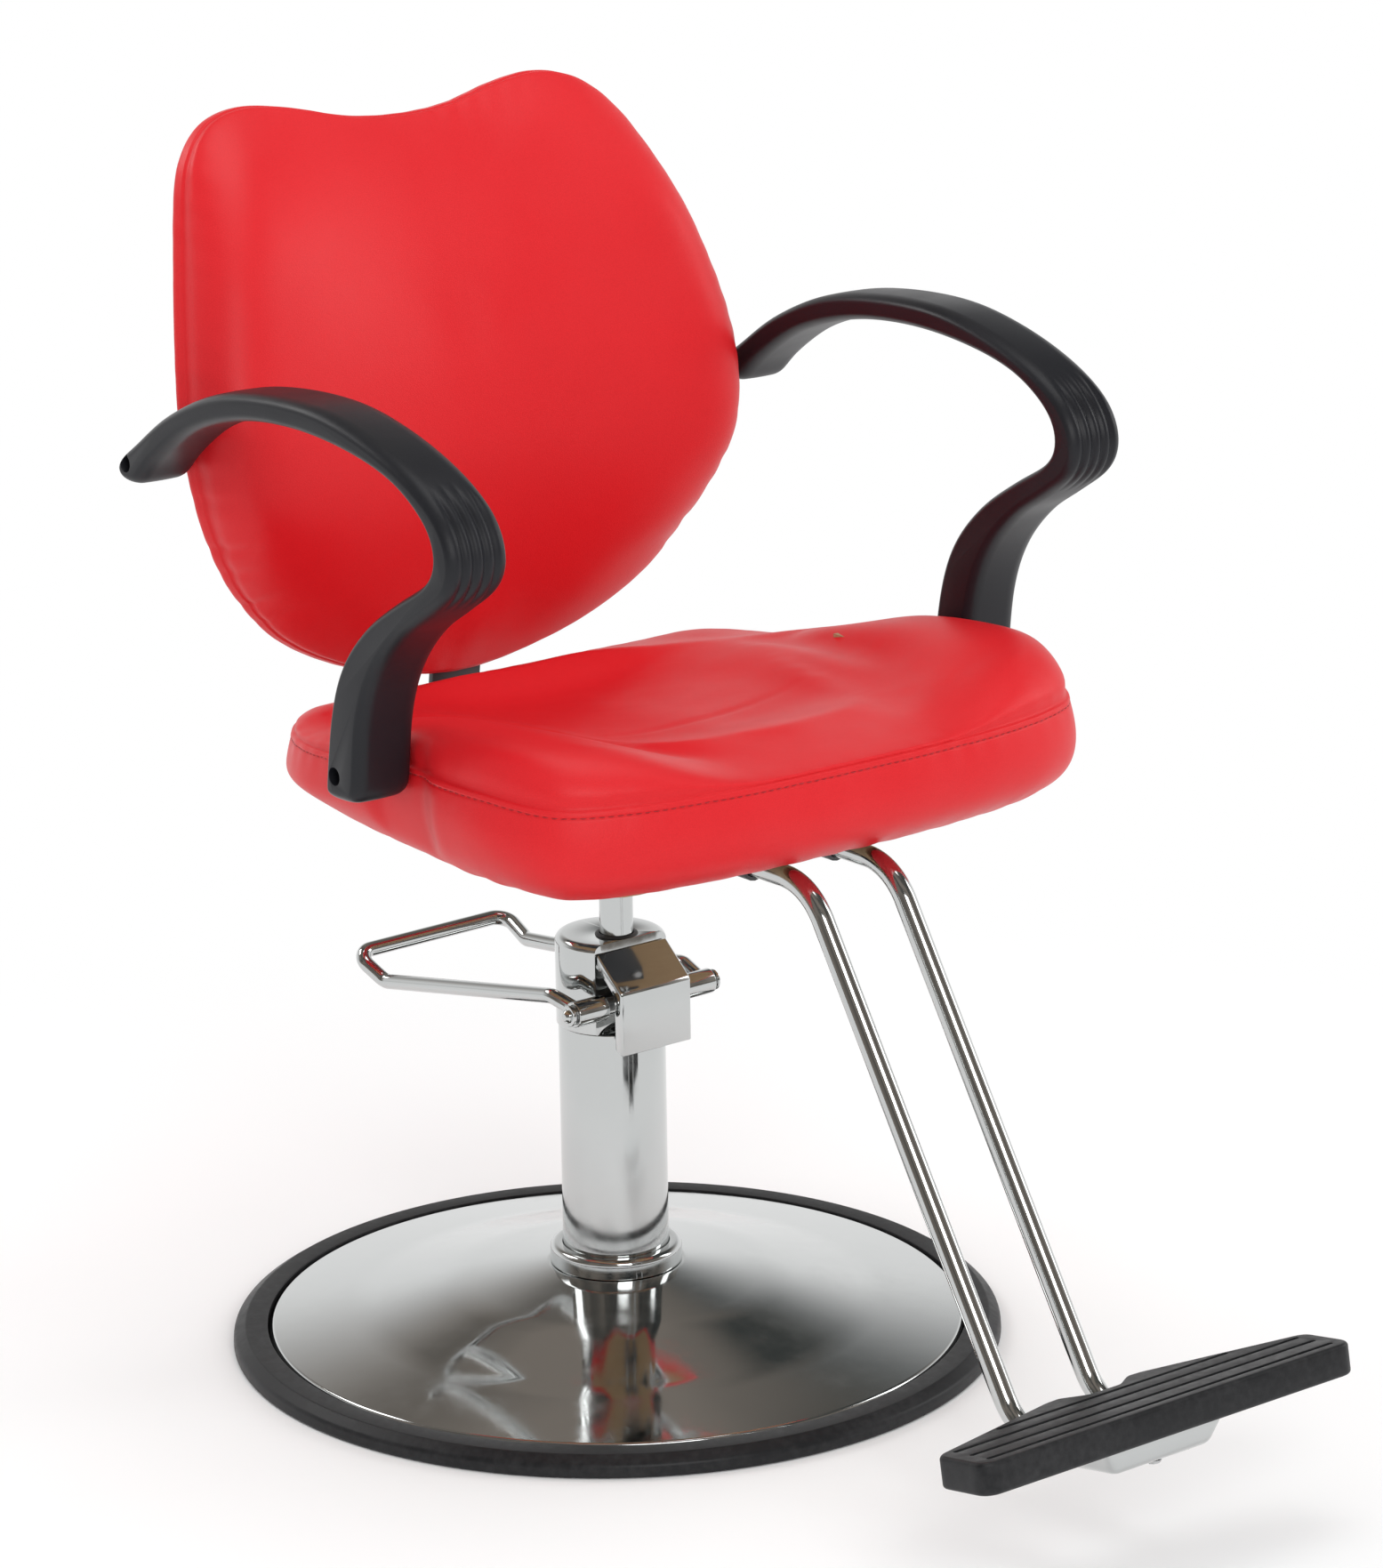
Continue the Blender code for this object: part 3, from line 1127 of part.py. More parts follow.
def make_pad():
    flat = flat_outline("footrest_pad", pad_outline(), PAD_T, "black_rubber", 0.0022, 1)
    flat.location = (0, 0, -PAD_T / 2)
    pad = tilted(made_mesh(flat, "black_rubber"))
    pitch = (PAD_MID_DEPTH - PAD_NOTCH_DEPTH - 2 * PAD_BORDER - PAD_GROOVE_W) / (PAD_GROOVES - 1)
    for i in range(PAD_GROOVES):
        back = PAD_BORDER + PAD_GROOVE_W / 2 + i * pitch
        half = groove_half_length(back + PAD_GROOVE_W / 2)
        slot = box_cutter("pad_groove_%d" % i,
                          (-half, back - PAD_GROOVE_W / 2, -PAD_GROOVE_DEPTH),
                          (half, back + PAD_GROOVE_W / 2, PAD_GROOVE_DEPTH))
        boolean(pad, tilted(slot))
    return pad


def make_tray():
    """Stamped tray under the pad: tapered floor, front wall and side walls."""
    bm = bmesh.new()
    bmesh.ops.create_cube(bm, size=1.0)
    for vert in bm.verts:
        upper = vert.co.z > 0
        half = TRAY_HALF if upper else TRAY_LOW_HALF
        rear = vert.co.y > 0
        back = TRAY_LEN if rear else (TRAY_FRONT if upper else TRAY_FRONT + 0.008)
        vert.co = (math.copysign(half, vert.co.x), back,
                   -PAD_T - 4 * GAP if upper else -PAD_T - GAP - TRAY_DEPTH)
    open_sides = [f for f in bm.faces
                  if f.normal.z > 0.9 or f.calc_center_median().y > TRAY_LEN - 0.001]
    bmesh.ops.delete(bm, geom=open_sides, context="FACES_ONLY")
    corners = [e for e in bm.edges if not e.is_boundary]
    bmesh.ops.bevel(bm, geom=corners, offset=0.007, segments=3, affect="EDGES", profile=0.5)
    tray = add_part("footrest_tray", mesh_from(bm, "footrest_tray"), "chrome")
    shell = tray.modifiers.new("Sheet", "SOLIDIFY")
    shell.thickness = TRAY_T
    shell.offset = -1.0
    shell.use_even_offset = True
    return tilted(tray)


def make_footrest(board):
    pieces = []
    for side, label in ((-1, "right"), (1, "left")):
        pieces.append(swept_rod("footrest_tube_" + label, footrest_path(side * TUBE_X), TUBE_R,
                                "chrome", 3))
    screw = screw_mesh("strap_screw", STRAP_SCREW)
    under = BOARD_Z - STRAP_T - 2 * GAP
    wing_x = TUBE_X + TUBE_R + STRAP_WING * 0.62
    for label, y in zip(("front", "rear"), STRAP_Y):
        strap = make_strap("footrest_strap_" + label, y)
        pieces.append(strap)
        for side, hand in ((-1, "right"), (1, "left")):
            seat = (side * wing_x, y, under)
            screw_hole(strap, seat, UP, STRAP_SCREW)
            screw_hole(board, seat, UP, STRAP_SCREW)
            pieces.append(place_screw("strap_screw_%s_%s" % (label, hand), screw, seat, UP))
    pad = make_pad()
    tray = make_tray()
    pieces += [pad, tray]
    screw = screw_mesh("pad_screw", PAD_SCREW)
    for i, back in enumerate(PAD_SCREW_BACK):
        place = on_pad(back, PAD_T + TRAY_DEPTH + 2 * GAP)
        outward = place.to_quaternion() @ UP
        screw_hole(pad, place.translation, outward, PAD_SCREW)
        screw_hole(tray, place.translation, outward, PAD_SCREW)
        pieces.append(place_screw("pad_screw_%d" % (i + 1), screw, place.translation, outward))
    return pieces


# ================================================================ the chair
def make_chair():
    plate = make_base()
    make_pump(plate)
    make_hood()
    make_lever()
    make_plunger()
    swivel, turning = make_ram()
    seat, board, steel = make_seat()
    turning += seat
    turning += make_back(board, steel)
    turning += make_arms()
    turning += make_footrest(board)
    carried_by(swivel, *turning)


make_chair()
bpy.context.view_layer.update()
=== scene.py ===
"""Looks of the hydraulic barber chair: studio, finishes, upholstery and fine metalwork.

Metres, +Z up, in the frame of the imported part. The sitter faces -Y, with the
right arm at -X. Every piece made here stands where its own CAD node is.
"""
import json
import math

import bmesh
import bpy
import numpy as np
from mathutils import Matrix, Vector
from mathutils.bvhtree import BVHTree


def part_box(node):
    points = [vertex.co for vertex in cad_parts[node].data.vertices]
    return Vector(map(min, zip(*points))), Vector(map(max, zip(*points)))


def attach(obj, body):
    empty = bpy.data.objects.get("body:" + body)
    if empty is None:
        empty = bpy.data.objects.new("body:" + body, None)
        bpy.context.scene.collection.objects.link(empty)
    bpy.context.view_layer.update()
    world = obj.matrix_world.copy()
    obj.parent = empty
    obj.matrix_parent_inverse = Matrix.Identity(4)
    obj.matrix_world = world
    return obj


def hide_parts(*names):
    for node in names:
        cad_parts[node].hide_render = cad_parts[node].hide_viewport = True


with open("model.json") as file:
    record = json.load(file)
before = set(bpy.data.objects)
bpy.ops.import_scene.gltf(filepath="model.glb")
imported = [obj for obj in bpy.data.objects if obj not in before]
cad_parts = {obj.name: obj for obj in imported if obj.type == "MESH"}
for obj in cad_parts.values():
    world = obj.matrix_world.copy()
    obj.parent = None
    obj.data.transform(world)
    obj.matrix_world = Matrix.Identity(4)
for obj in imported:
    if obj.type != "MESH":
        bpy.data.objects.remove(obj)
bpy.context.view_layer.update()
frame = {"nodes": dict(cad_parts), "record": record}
NODES = frame["nodes"]
UP = Vector((0, 0, 1))
ACROSS = Vector((1, 0, 0))

# -------- camera and studio
CAMERA_PLACE = Vector((-2.28325, -3.02611, 1.49803))
CAMERA_TURN = -0.6627          # radians round the chair from straight ahead
CAMERA_PITCH = 0.2757
CAMERA_ROLL = -0.0150
CAMERA_LENS = 123.2            # mm, on a 36 mm long side

WORLD_LEVEL = 0.78             # the room's even light
WHITE = (1.0, 1.0, 1.0, 1.0)
STUDIO_BACK = Vector((0.60, 0.80, 0.0))   # away from the photograph's camera
STUDIO_DIM = (0.055, 0.060, 0.058, 1.0)   # what mirrors show of the room's front
STUDIO_TAN = (0.270, 0.235, 0.205, 1.0)
REAR_FADE = (-0.25, 0.50)      # from the dim front to the pale rear
HIGH_FADE = (0.62, 0.22)       # from the dim ceiling down to the pale rear
FLOOR_R = 14.0
FLOOR_DROP = 0.0005
FLOOR_COLOUR = (0.93, 0.93, 0.93, 1.0)
FLOOR_FADE = (0.38, 1.10)      # distances between which the floor's shadow fades to white
LIGHT_AIM = (0.0, 0.0, 0.55)
SOFTBOXES = [                  # name, place, width, height, watts
    ("key", (-1.3, -3.3, 2.3), 1.6, 1.6, 44), ("right_fill", (3.1, -1.3, 1.9), 0.9, 1.8, 17),
    ("rear_top", (-1.2, 2.6, 2.9), 1.6, 1.2, 26), ("overhead", (0.3, -0.2, 3.3), 1.4, 1.4, 16)]

# -------- base and pump
BASE_R = 0.2900
RING_WIDTH = 0.0265
RING_H = 0.0150
COVER_LOW_Z = 0.0083
COVER_RIM_Z = 0.0128
COVER_TOP_Z = 0.0560
COVER_T = 0.0015
COLLAR_R = 0.0496
COLLAR_H = 0.0150
PUMP_R = 0.0398
PUMP_WALL = 0.0030
PUMP_TOP_Z = 0.2450
CAP_R = 0.0412
CAP_TOP_Z = 0.3140
CAP_SPIGOT = 0.0300
RAM_R = 0.0125
RAM_Y = -0.0078
AXLE_Y = -0.0370
AXLE_Z = 0.2710
AXLE_HALF = 0.0655
SLOT_REAR_Y = -0.0245
GAP = 0.0003

# -------- lever and hood
BOSS_R = 0.0095
BOSS_IN_X = 0.0360
BOSS_OUT_X = 0.0635
AXLE_HOLE_R = 0.0062
NUT_PROFILE = [(0.0, 0.0062, 0.0), (0.0030, 0.0060, 0.0012), (0.0050, 0.0036, 0.0016),
               (0.0050, 0.0022, 0.0004), (0.0079, 0.0022, 0.0006), (0.0079, 0.0, 0.0003),
               (0.0, 0.0, 0.0)]    # radius, height and corner radius
LEVER_R = 0.0058
PEDAL_Y = 0.2200
PEDAL_Z = 0.2600
HOOD_HALF = 0.0325
HOOD_FRONT_Y = -0.0550
HOOD_LOW_Z = 0.2365
HOOD_BEND_Z = 0.2845
HOOD_TOP_Y = -0.0265
HOOD_TOP_Z = 0.3080
HOOD_T = 0.0014
HOOD_FLANGE = 0.0080
HOOD_FLANGE_RISE = 0.0040      # how much shorter the flanges are at the bottom
HOOD_BEND_R = 0.0022

# -------- seat and back
SEAT_LOW_Z = 0.4300
SEAM_Z = 0.5040
SEAT_HALF = 0.2475
SEAT_FRONT_Y = -0.2870
SEAT_REAR_Y = 0.1330
BACK_LOW_Z = 0.4760
BACK_Y = 0.1570
BACK_LUMBAR_Z = 0.6550
BACK_BOARD_T = 0.0130
BAR_W = 0.0450
BAR_T = 0.0050
BAR_FRONT_Y = 0.0240
BAR_TOP_Z = 0.6000
BAR_LEAVES_Z = 0.4850
BAR_BEND_R = 0.0400
BOARD_Z = 0.4323
PLATE_STEEL = 0.0035

# -------- arms and footrest
ARM_W = 0.0490
ARM_IN_X = 0.2500
ARM_SCREW_FRONT = (-0.0860, 0.5060)
ARM_SCREW_REAR = (0.1660, 0.6840)
ARM_HEAD_DEPTH = 0.0200
ARM_HEAD_R = 0.0065
TUBE_R = 0.0080
TUBE_X = 0.0373
TUBE_Z = 0.4212
TUBE_REAR_Y = -0.0950
TUBE_KNEE_Y = -0.2790
TUBE_FOOT_Y = -0.4985
TUBE_BENDS = [0.0500, 0.0430]
PAD_T = 0.0225
PAD_HALF = 0.1677
PAD_FRONT = (-0.6110, 0.1320)
PAD_TILT = math.radians(10.4)


# ======== shader helpers
def link_or_set(tree, socket, value):
    if isinstance(value, bpy.types.NodeSocket):
        tree.links.new(value, socket)
    else:
        socket.default_value = value


def node(tree, kind, settings=None, **inputs):
    """Add a node; inputs are named with _ for a space, or as in0, in1 by place."""
    made = tree.nodes.new("ShaderNode" + kind)
    for key, value in (settings or {}).items():
        setattr(made, key, value)
    for key, value in inputs.items():
        place = int(key[2:]) if key[:2] == "in" and key[2:].isdigit() else key.replace("_", " ")
        link_or_set(tree, made.inputs[place], value)
    return made


def object_coords(tree, stretch=(1, 1, 1)):
    coords = node(tree, "TexCoord").outputs["Object"]
    if tuple(stretch) == (1, 1, 1):
        return coords
    return node(tree, "Mapping", Vector=coords, Scale=stretch).outputs["Vector"]


def noise(tree, scale, detail=3.0, rough=0.55, coords=None):
    coords = coords or object_coords(tree)
    return node(tree, "TexNoise", Vector=coords, Scale=scale, Detail=detail,
                Roughness=rough).outputs["Fac"]


def spread(tree, value, low, high, from_low=0.0, from_high=1.0):
    return node(tree, "MapRange", Value=value, From_Min=from_low, From_Max=from_high,
                To_Min=low, To_Max=high).outputs["Result"]


def faded(tree, value, start, end):
    """0 to 1 as the value goes from start to end, eased at both."""
    return node(tree, "MapRange", {"interpolation_type": "SMOOTHSTEP"}, Value=value,
                From_Min=start, From_Max=end).outputs["Result"]


def combined(tree, operation, first, second):
    return node(tree, "Math", {"operation": operation}, in0=first, in1=second).outputs["Value"]


def blend_colours(tree, factor, first, second):
    return node(tree, "Mix", {"data_type": "RGBA"}, in0=factor, in6=first, in7=second).outputs[2]


def bump(tree, height, depth, strength=1.0, normal=None):
    made = node(tree, "Bump", Height=height, Distance=depth, Strength=strength)
    if normal is not None:
        tree.links.new(normal, made.inputs["Normal"])
    return made.outputs["Normal"]


def worn_edges(tree, low=0.505, high=0.56):
    """1 on sharp outer edges, 0 elsewhere."""
    pointed = node(tree, "NewGeometry").outputs["Pointiness"]
    return spread(tree, pointed, 0.0, 1.0, low, high)


def new_material(name, **values):
    """A Principled material and its node tree, some of the shader's own values set."""
    material = bpy.data.materials.new(name)
    material.use_nodes = True
    shader = material.node_tree.nodes["Principled BSDF"]
    for key, value in values.items():
        shader.inputs[key.replace("_", " ")].default_value = value
    return material, material.node_tree


def dressed(material, colour, rough, normal=None):
    """The material, with its shader fed by the given sockets."""
    tree = material.node_tree
    inputs = tree.nodes["Principled BSDF"].inputs
    tree.links.new(colour, inputs["Base Color"])
    tree.links.new(rough, inputs["Roughness"])
    if normal is not None:
        tree.links.new(normal, inputs["Normal"])
    return material


# ======== studio
def make_camera():
    data = bpy.data.cameras.new("camera")
    data.lens = CAMERA_LENS
    data.sensor_width = 36.0
    data.sensor_fit = "AUTO"
    camera = plain_object("camera", data)
    flat = math.cos(CAMERA_PITCH)
    back = Vector((math.sin(CAMERA_TURN) * flat, -math.cos(CAMERA_TURN) * flat,
                   math.sin(CAMERA_PITCH)))
    right = UP.cross(back).normalized()
    up = back.cross(right)
    roll = Matrix.Rotation(CAMERA_ROLL, 3, back)
    turned_axes = Matrix((roll @ right, roll @ up, back)).transposed()
    camera.matrix_world = Matrix.Translation(CAMERA_PLACE) @ turned_axes.to_4x4()
    bpy.context.scene.camera = camera


def make_world():
    """White to the camera; a pale rear and a dim front for reflections."""
    world = bpy.data.worlds.new("studio")
    bpy.context.scene.world = world
    world.use_nodes = True
    tree = world.node_tree
    tree.nodes.clear()
    way = node(tree, "TexCoord").outputs["Generated"]
    along = node(tree, "VectorMath", {"operation": "DOT_PRODUCT"}, in0=way,
                 in1=STUDIO_BACK).outputs["Value"]
    up = node(tree, "SeparateXYZ", Vector=way).outputs["Z"]
    pale = combined(tree, "MULTIPLY", faded(tree, along, *REAR_FADE), faded(tree, up, *HIGH_FADE))
    patches = spread(tree, noise(tree, 2.2, 2.0, 0.5, way), 0.0, 1.0, 0.38, 0.62)
    tone = blend_colours(tree, pale, blend_colours(tree, patches, STUDIO_DIM, STUDIO_TAN), WHITE)
    path = node(tree, "LightPath").outputs
    mirror = combined(tree, "MAXIMUM", path["Is Glossy Ray"], path["Is Transmission Ray"])
    room = node(tree, "Background", Color=WHITE, Strength=WORLD_LEVEL)
    mirrored = node(tree, "Background", Color=tone)
    lit = node(tree, "MixShader", Fac=mirror, in1=room.outputs[0], in2=mirrored.outputs[0])
    seen = node(tree, "Background", Color=WHITE)
    whole = node(tree, "MixShader", Fac=path["Is Camera Ray"], in1=lit.outputs[0], in2=seen.outputs[0])
    node(tree, "OutputWorld", Surface=whole.outputs[0])


def make_softbox(name, place, width, height, watts):
    data = bpy.data.lights.new(name, "AREA")
    data.shape = "RECTANGLE"
    data.size = width
    data.size_y = height
    data.energy = watts
    lamp = plain_object(name, data)
    lamp.location = place
    lamp.rotation_mode = "QUATERNION"
    lamp.rotation_quaternion = (Vector(LIGHT_AIM) - Vector(place)).to_track_quat("-Z", "Y")


def make_floor():
    """Pale paper that keeps the chair's shadow and turns plain white further out."""
    bm = bmesh.new()
    bmesh.ops.create_circle(bm, cap_ends=True, segments=96, radius=FLOOR_R)
    mesh = bpy.data.meshes.new("floor")
    bm.to_mesh(mesh)
    bm.free()
    floor = plain_object("floor", mesh)
    floor.location.z = -FLOOR_DROP
    material, tree = new_material("floor_paper", Base_Color=FLOOR_COLOUR, Roughness=0.9,
                                  Specular_IOR_Level=0.1)
    out = node(tree, "VectorMath", {"operation": "LENGTH"}, in0=object_coords(tree)).outputs["Value"]
    path = node(tree, "LightPath").outputs
    seen = combined(tree, "MAXIMUM", path["Is Camera Ray"], path["Is Glossy Ray"])
    seen = combined(tree, "MAXIMUM", seen, path["Is Transmission Ray"])
    shown = combined(tree, "MULTIPLY", faded(tree, out, *FLOOR_FADE), seen)
    glow = node(tree, "Emission", Color=WHITE)
    mixed = node(tree, "MixShader", Fac=shown, in1=tree.nodes["Principled BSDF"].outputs["BSDF"],
                 in2=glow.outputs["Emission"])
    tree.links.new(mixed.outputs["Shader"], tree.nodes["Material Output"].inputs["Surface"])
    mesh.materials.append(material)


def make_studio():
    bpy.context.scene.view_settings.view_transform = "Standard"
    make_camera()
    make_world()
    make_floor()
    for softbox in SOFTBOXES:
        make_softbox(*softbox)


# ======== finishes
def chrome_finish():
    """Plating: mirror bright, with hand smears and fine polishing lines."""
    material, tree = new_material("chrome", Metallic=1.0)
    smear = noise(tree, 9.0, 4.0)
    worn = combined(tree, "MULTIPLY", smear, noise(tree, 60.0, 5.0, 0.65))
    colour = blend_colours(tree, smear, (0.520, 0.535, 0.535, 1), (0.590, 0.600, 0.595, 1))
    return dressed(material, colour, spread(tree, worn, 0.035, 0.16, 0.12, 0.42),
                   bump(tree, noise(tree, 14.0, 2.0), 0.00012, 0.35))


def steel_finish():
    """Bright zinc-plated screws and turned steel."""
    material, tree = new_material("steel", Metallic=1.0)
    lines = noise(tree, 40.0, 3.0, 0.6, object_coords(tree, (1, 1, 30)))
    colour = blend_colours(tree, noise(tree, 120.0), (0.42, 0.43, 0.45, 1), (0.66, 0.66, 0.64, 1))
    return dressed(material, colour, spread(tree, lines, 0.24, 0.42), bump(tree, lines, 0.00002, 0.5))


def patchy_finish(name, scale, detail, dark, pale, rough, **values):
    """Soft patches of two tones, the paler ones rougher."""
    material, tree = new_material(name, **values)
    patch = noise(tree, scale, detail)
    return dressed(material, blend_colours(tree, patch, dark, pale), spread(tree, patch, *rough))


def cast_iron_finish():
    """Black-painted casting with a sandy skin."""
    material, tree = new_material("cast_iron", Metallic=0.1)
    patch = noise(tree, 12.0, 4.0)
    colour = blend_colours(tree, patch, (0.020, 0.020, 0.022, 1), (0.045, 0.043, 0.040, 1))
    return dressed(material, colour, spread(tree, patch, 0.50, 0.72),
                   bump(tree, noise(tree, 420.0, 4.0, 0.7), 0.0003, 0.7))


def black_steel_finish():
    """Satin powder coat: orange peel, rubbed paler on its edges."""
    material, tree = new_material("black_steel")
    colour = blend_colours(tree, worn_edges(tree), (0.0135, 0.0138, 0.016, 1), (0.05, 0.05, 0.054, 1))
    return dressed(material, colour, spread(tree, noise(tree, 22.0, 4.0), 0.30, 0.46),
                   bump(tree, noise(tree, 330.0, 2.0), 0.00006, 0.6))


def black_rubber_finish():
    """Moulded rubber: fine matt skin, dusty where it is trodden."""
    material, tree = new_material("black_rubber", Specular_IOR_Level=0.30)
    dust = combined(tree, "MULTIPLY", noise(tree, 7.0, 5.0, 0.65), noise(tree, 160.0, 3.0))
    colour = blend_colours(tree, spread(tree, dust, 0.0, 1.0, 0.18, 0.48), (0.0100, 0.0105, 0.0120, 1),
                           (0.030, 0.030, 0.032, 1))
    return dressed(material, colour, spread(tree, dust, 0.36, 0.60, 0.1, 0.5),
                   bump(tree, noise(tree, 900.0, 2.0), 0.00008, 0.5))


def black_plastic_finish():
    """Moulded polyurethane arms: fine leather grain, polished where hands rest."""
    material, tree = new_material("black_plastic", Specular_IOR_Level=0.28)
    cells = node(tree, "TexVoronoi", {"feature": "F1"}, Vector=object_coords(tree),
                 Scale=1100.0).outputs["Distance"]
    height = node(tree, "Math", {"operation": "MULTIPLY_ADD"}, in0=cells, in1=0.6,
                  in2=noise(tree, 500.0, 3.0)).outputs["Value"]
    patch = noise(tree, 11.0, 4.0)
    colour = blend_colours(tree, patch, (0.0088, 0.0092, 0.0118, 1), (0.0140, 0.0145, 0.0185, 1))
    return dressed(material, colour, spread(tree, patch, 0.32, 0.46, 0.3, 0.7),
                   bump(tree, height, 0.00006, 0.5))


def red_vinyl_finish():
    """Upholstery vinyl: red, pressed grain with painted shade in its valleys, satin sheen, faint crumpling.
    """
    material, tree = new_material("red_vinyl", Specular_IOR_Level=0.27)
    coords = object_coords(tree)
    wobble = node(tree, "TexNoise", Vector=coords, Scale=260.0, Detail=2.0).outputs["Color"]
    shifted = node(tree, "VectorMath", {"operation": "MULTIPLY_ADD"}, in0=wobble,
                   in1=(0.0010, 0.0010, 0.0010), in2=coords).outputs["Vector"]
    cells = node(tree, "TexVoronoi", {"feature": "DISTANCE_TO_EDGE"}, Vector=shifted,
                 Scale=720.0).outputs["Distance"]
    pebbles_and_valley_shade = spread(tree, cells, 0.0, 1.0, 0.0, 0.22)
    red = blend_colours(tree, noise(tree, 5.0, 4.0, 0.6), (0.640, 0.0098, 0.0150, 1),
                        (0.735, 0.0150, 0.0210, 1))
    # painted shade: the valleys between the grain's pebbles are mixed towards a darker red
    grain = blend_colours(tree, spread(tree, pebbles_and_valley_shade, 0.22, 0.0), red, (0.470, 0.0055, 0.0095, 1))
    ripple = bump(tree, noise(tree, 26.0, 3.0), 0.0006, 0.30)
    return dressed(material, grain, spread(tree, noise(tree, 8.0, 5.0, 0.6), 0.36, 0.47, 0.3, 0.7),
                   bump(tree, pebbles_and_valley_shade, 0.00007, 0.55, ripple))


def red_thread_finish():
    """Twisted polyester thread, a darker red than the vinyl."""
    material, tree = new_material("red_thread")
    twist = node(tree, "TexWave", Vector=object_coords(tree), Scale=900.0, Distortion=3.0,
                 Detail=1.0).outputs["Fac"]
    colour = blend_colours(tree, twist, (0.270, 0.006, 0.010, 1), (0.480, 0.016, 0.022, 1))
    return dressed(material, colour, spread(tree, twist, 0.45, 0.60), bump(tree, twist, 0.00008, 0.6))


def plywood_finish():
    """Birch ply: stretched face grain, and the plies as stripes on its edges."""
    material, tree = new_material("plywood")
    grain = noise(tree, 26.0, 5.0, 0.6, object_coords(tree, (1, 14, 1)))
    face = blend_colours(tree, grain, (0.38, 0.235, 0.115, 1), (0.60, 0.43, 0.25, 1))
    plies = node(tree, "TexWave", {"bands_direction": "Z"}, Vector=object_coords(tree),
                 Scale=105.0, Distortion=0.4).outputs["Fac"]
    colour = blend_colours(tree, spread(tree, plies, 0.0, 0.45), face, (0.30, 0.17, 0.08, 1))
    return dressed(material, colour, spread(tree, grain, 0.60, 0.80), bump(tree, grain, 0.0003, 0.5))


FINISHES = {
    "chrome": chrome_finish(), "steel": steel_finish(), "cast_iron": cast_iron_finish(),
    "bronze": patchy_finish("bronze", 90.0, 4.0, (0.52, 0.33, 0.15, 1), (0.66, 0.45, 0.23, 1),
                            (0.24, 0.40), Metallic=1.0),
    "black_steel": black_steel_finish(), "black_rubber": black_rubber_finish(),
    "black_plastic": black_plastic_finish(), "red_vinyl": red_vinyl_finish(),
    "plywood": plywood_finish(),
    "seal_rubber": patchy_finish("seal_rubber", 200.0, 3.0, (0.020, 0.020, 0.022, 1),
                                 (0.038, 0.038, 0.040, 1), (0.40, 0.60)),
}
THREAD = red_thread_finish()


def finish_cad_nodes():
    """Give every CAD node the procedural finish of its own material slot."""
    slots = {row["node"]: row["material_slot"] for row in frame["record"]["subparts"]}
    for name, obj in NODES.items():
        if not obj.material_slots:
            obj.data.materials.append(None)
        for place in obj.material_slots:
            place.material = FINISHES[slots[name]]


# ======== mesh helpers
def add_piece(name, mesh, finish, body, replaced=(), smooth=math.radians(38)):
    """Link a finished mesh as a piece that rides on a body and stands for CAD nodes."""
    mesh.materials.clear()
    mesh.materials.append(FINISHES[finish] if isinstance(finish, str) else finish)
    mesh.shade_smooth()
    mesh.set_sharp_from_angle(angle=smooth)
    obj = bpy.data.objects.new(name, mesh)
    bpy.context.scene.collection.objects.link(obj)
    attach(obj, body)
    if replaced:
        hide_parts(*replaced)
    return obj


def to_mesh(bm, name):
    bmesh.ops.recalc_face_normals(bm, faces=bm.faces)
    mesh = bpy.data.meshes.new(name)
    bm.to_mesh(mesh)
    bm.free()
    return mesh


def filleted(points, radii, steps=8):
    """A path through the points with each inner corner turned to an arc."""
    path = [Vector(points[0])]
    for i in range(1, len(points) - 1):
        corner = Vector(points[i])
        back = (Vector(points[i - 1]) - corner).normalized()
        ahead = (Vector(points[i + 1]) - corner).normalized()
        half = back.angle(ahead) / 2
        if radii[i - 1] == 0.0:
            path.append(corner)
            continue
        reach = radii[i - 1] / math.tan(half)
        centre = corner + (back + ahead).normalized() * radii[i - 1] / math.sin(half)
        start = corner + back * reach - centre
        finish = corner + ahead * reach - centre
        turn = start.angle(finish)
        for k in range(steps + 1):
            share = k / steps
            spoke = (start * math.sin((1 - share) * turn)
                     + finish * math.sin(share * turn)) / math.sin(turn)
            path.append(centre + spoke)
    path.append(Vector(points[-1]))
    return path


def rounded_ring(corners, steps=5):
    """Closed outline through (a, b, radius) corners, each turned to an arc."""
    ring = [Vector((a, b, 0.0)) for a, b, _ in corners]
    outline = []
    for i, (_, _, radius) in enumerate(corners):
        if radius == 0.0:
            outline.append(ring[i])
            continue
        bend = filleted([ring[i - 1], ring[i], ring[(i + 1) % len(ring)]], [radius], steps)
        outline += bend[1:-1]
    return outline


def turned_mesh(name, corners, centre=(0.0, 0.0), steps=160, arc_steps=5):
    """Turn a closed profile of (radius, z, corner radius) about the vertical."""
    profile = [(p.x, p.y) for p in rounded_ring(corners, arc_steps)]
    bm = bmesh.new()
    rings = []
    for radius, z in profile:
        if radius < 1e-6:
            rings.append([bm.verts.new((centre[0], centre[1], z))])
            continue
        rings.append([bm.verts.new((centre[0] + radius * math.cos(math.tau * k / steps),
                                    centre[1] + radius * math.sin(math.tau * k / steps), z))
                      for k in range(steps)])
    for i, ring in enumerate(rings):
        below = rings[(i + 1) % len(rings)]
        if len(ring) == 1 and len(below) == 1:
            continue
        for k in range(steps):
            after = (k + 1) % steps
            corners_here = [ring[k % len(ring)], ring[after % len(ring)],
                            below[after % len(below)], below[k % len(below)]]
            bm.faces.new(list(dict.fromkeys(corners_here)))
    return to_mesh(bm, name)


def add_turned(name, corners, finish, body, replaced=(), **how):
    return add_piece(name, turned_mesh(name, corners, **how), finish, body, replaced)


def circle(centre, first, second, radius, sides):
    """Points round a centre, in the plane of two unit directions."""
    return [Vector(centre) + radius * (first * math.cos(math.tau * k / sides)
                                       + second * math.sin(math.tau * k / sides)) for k in range(sides)]


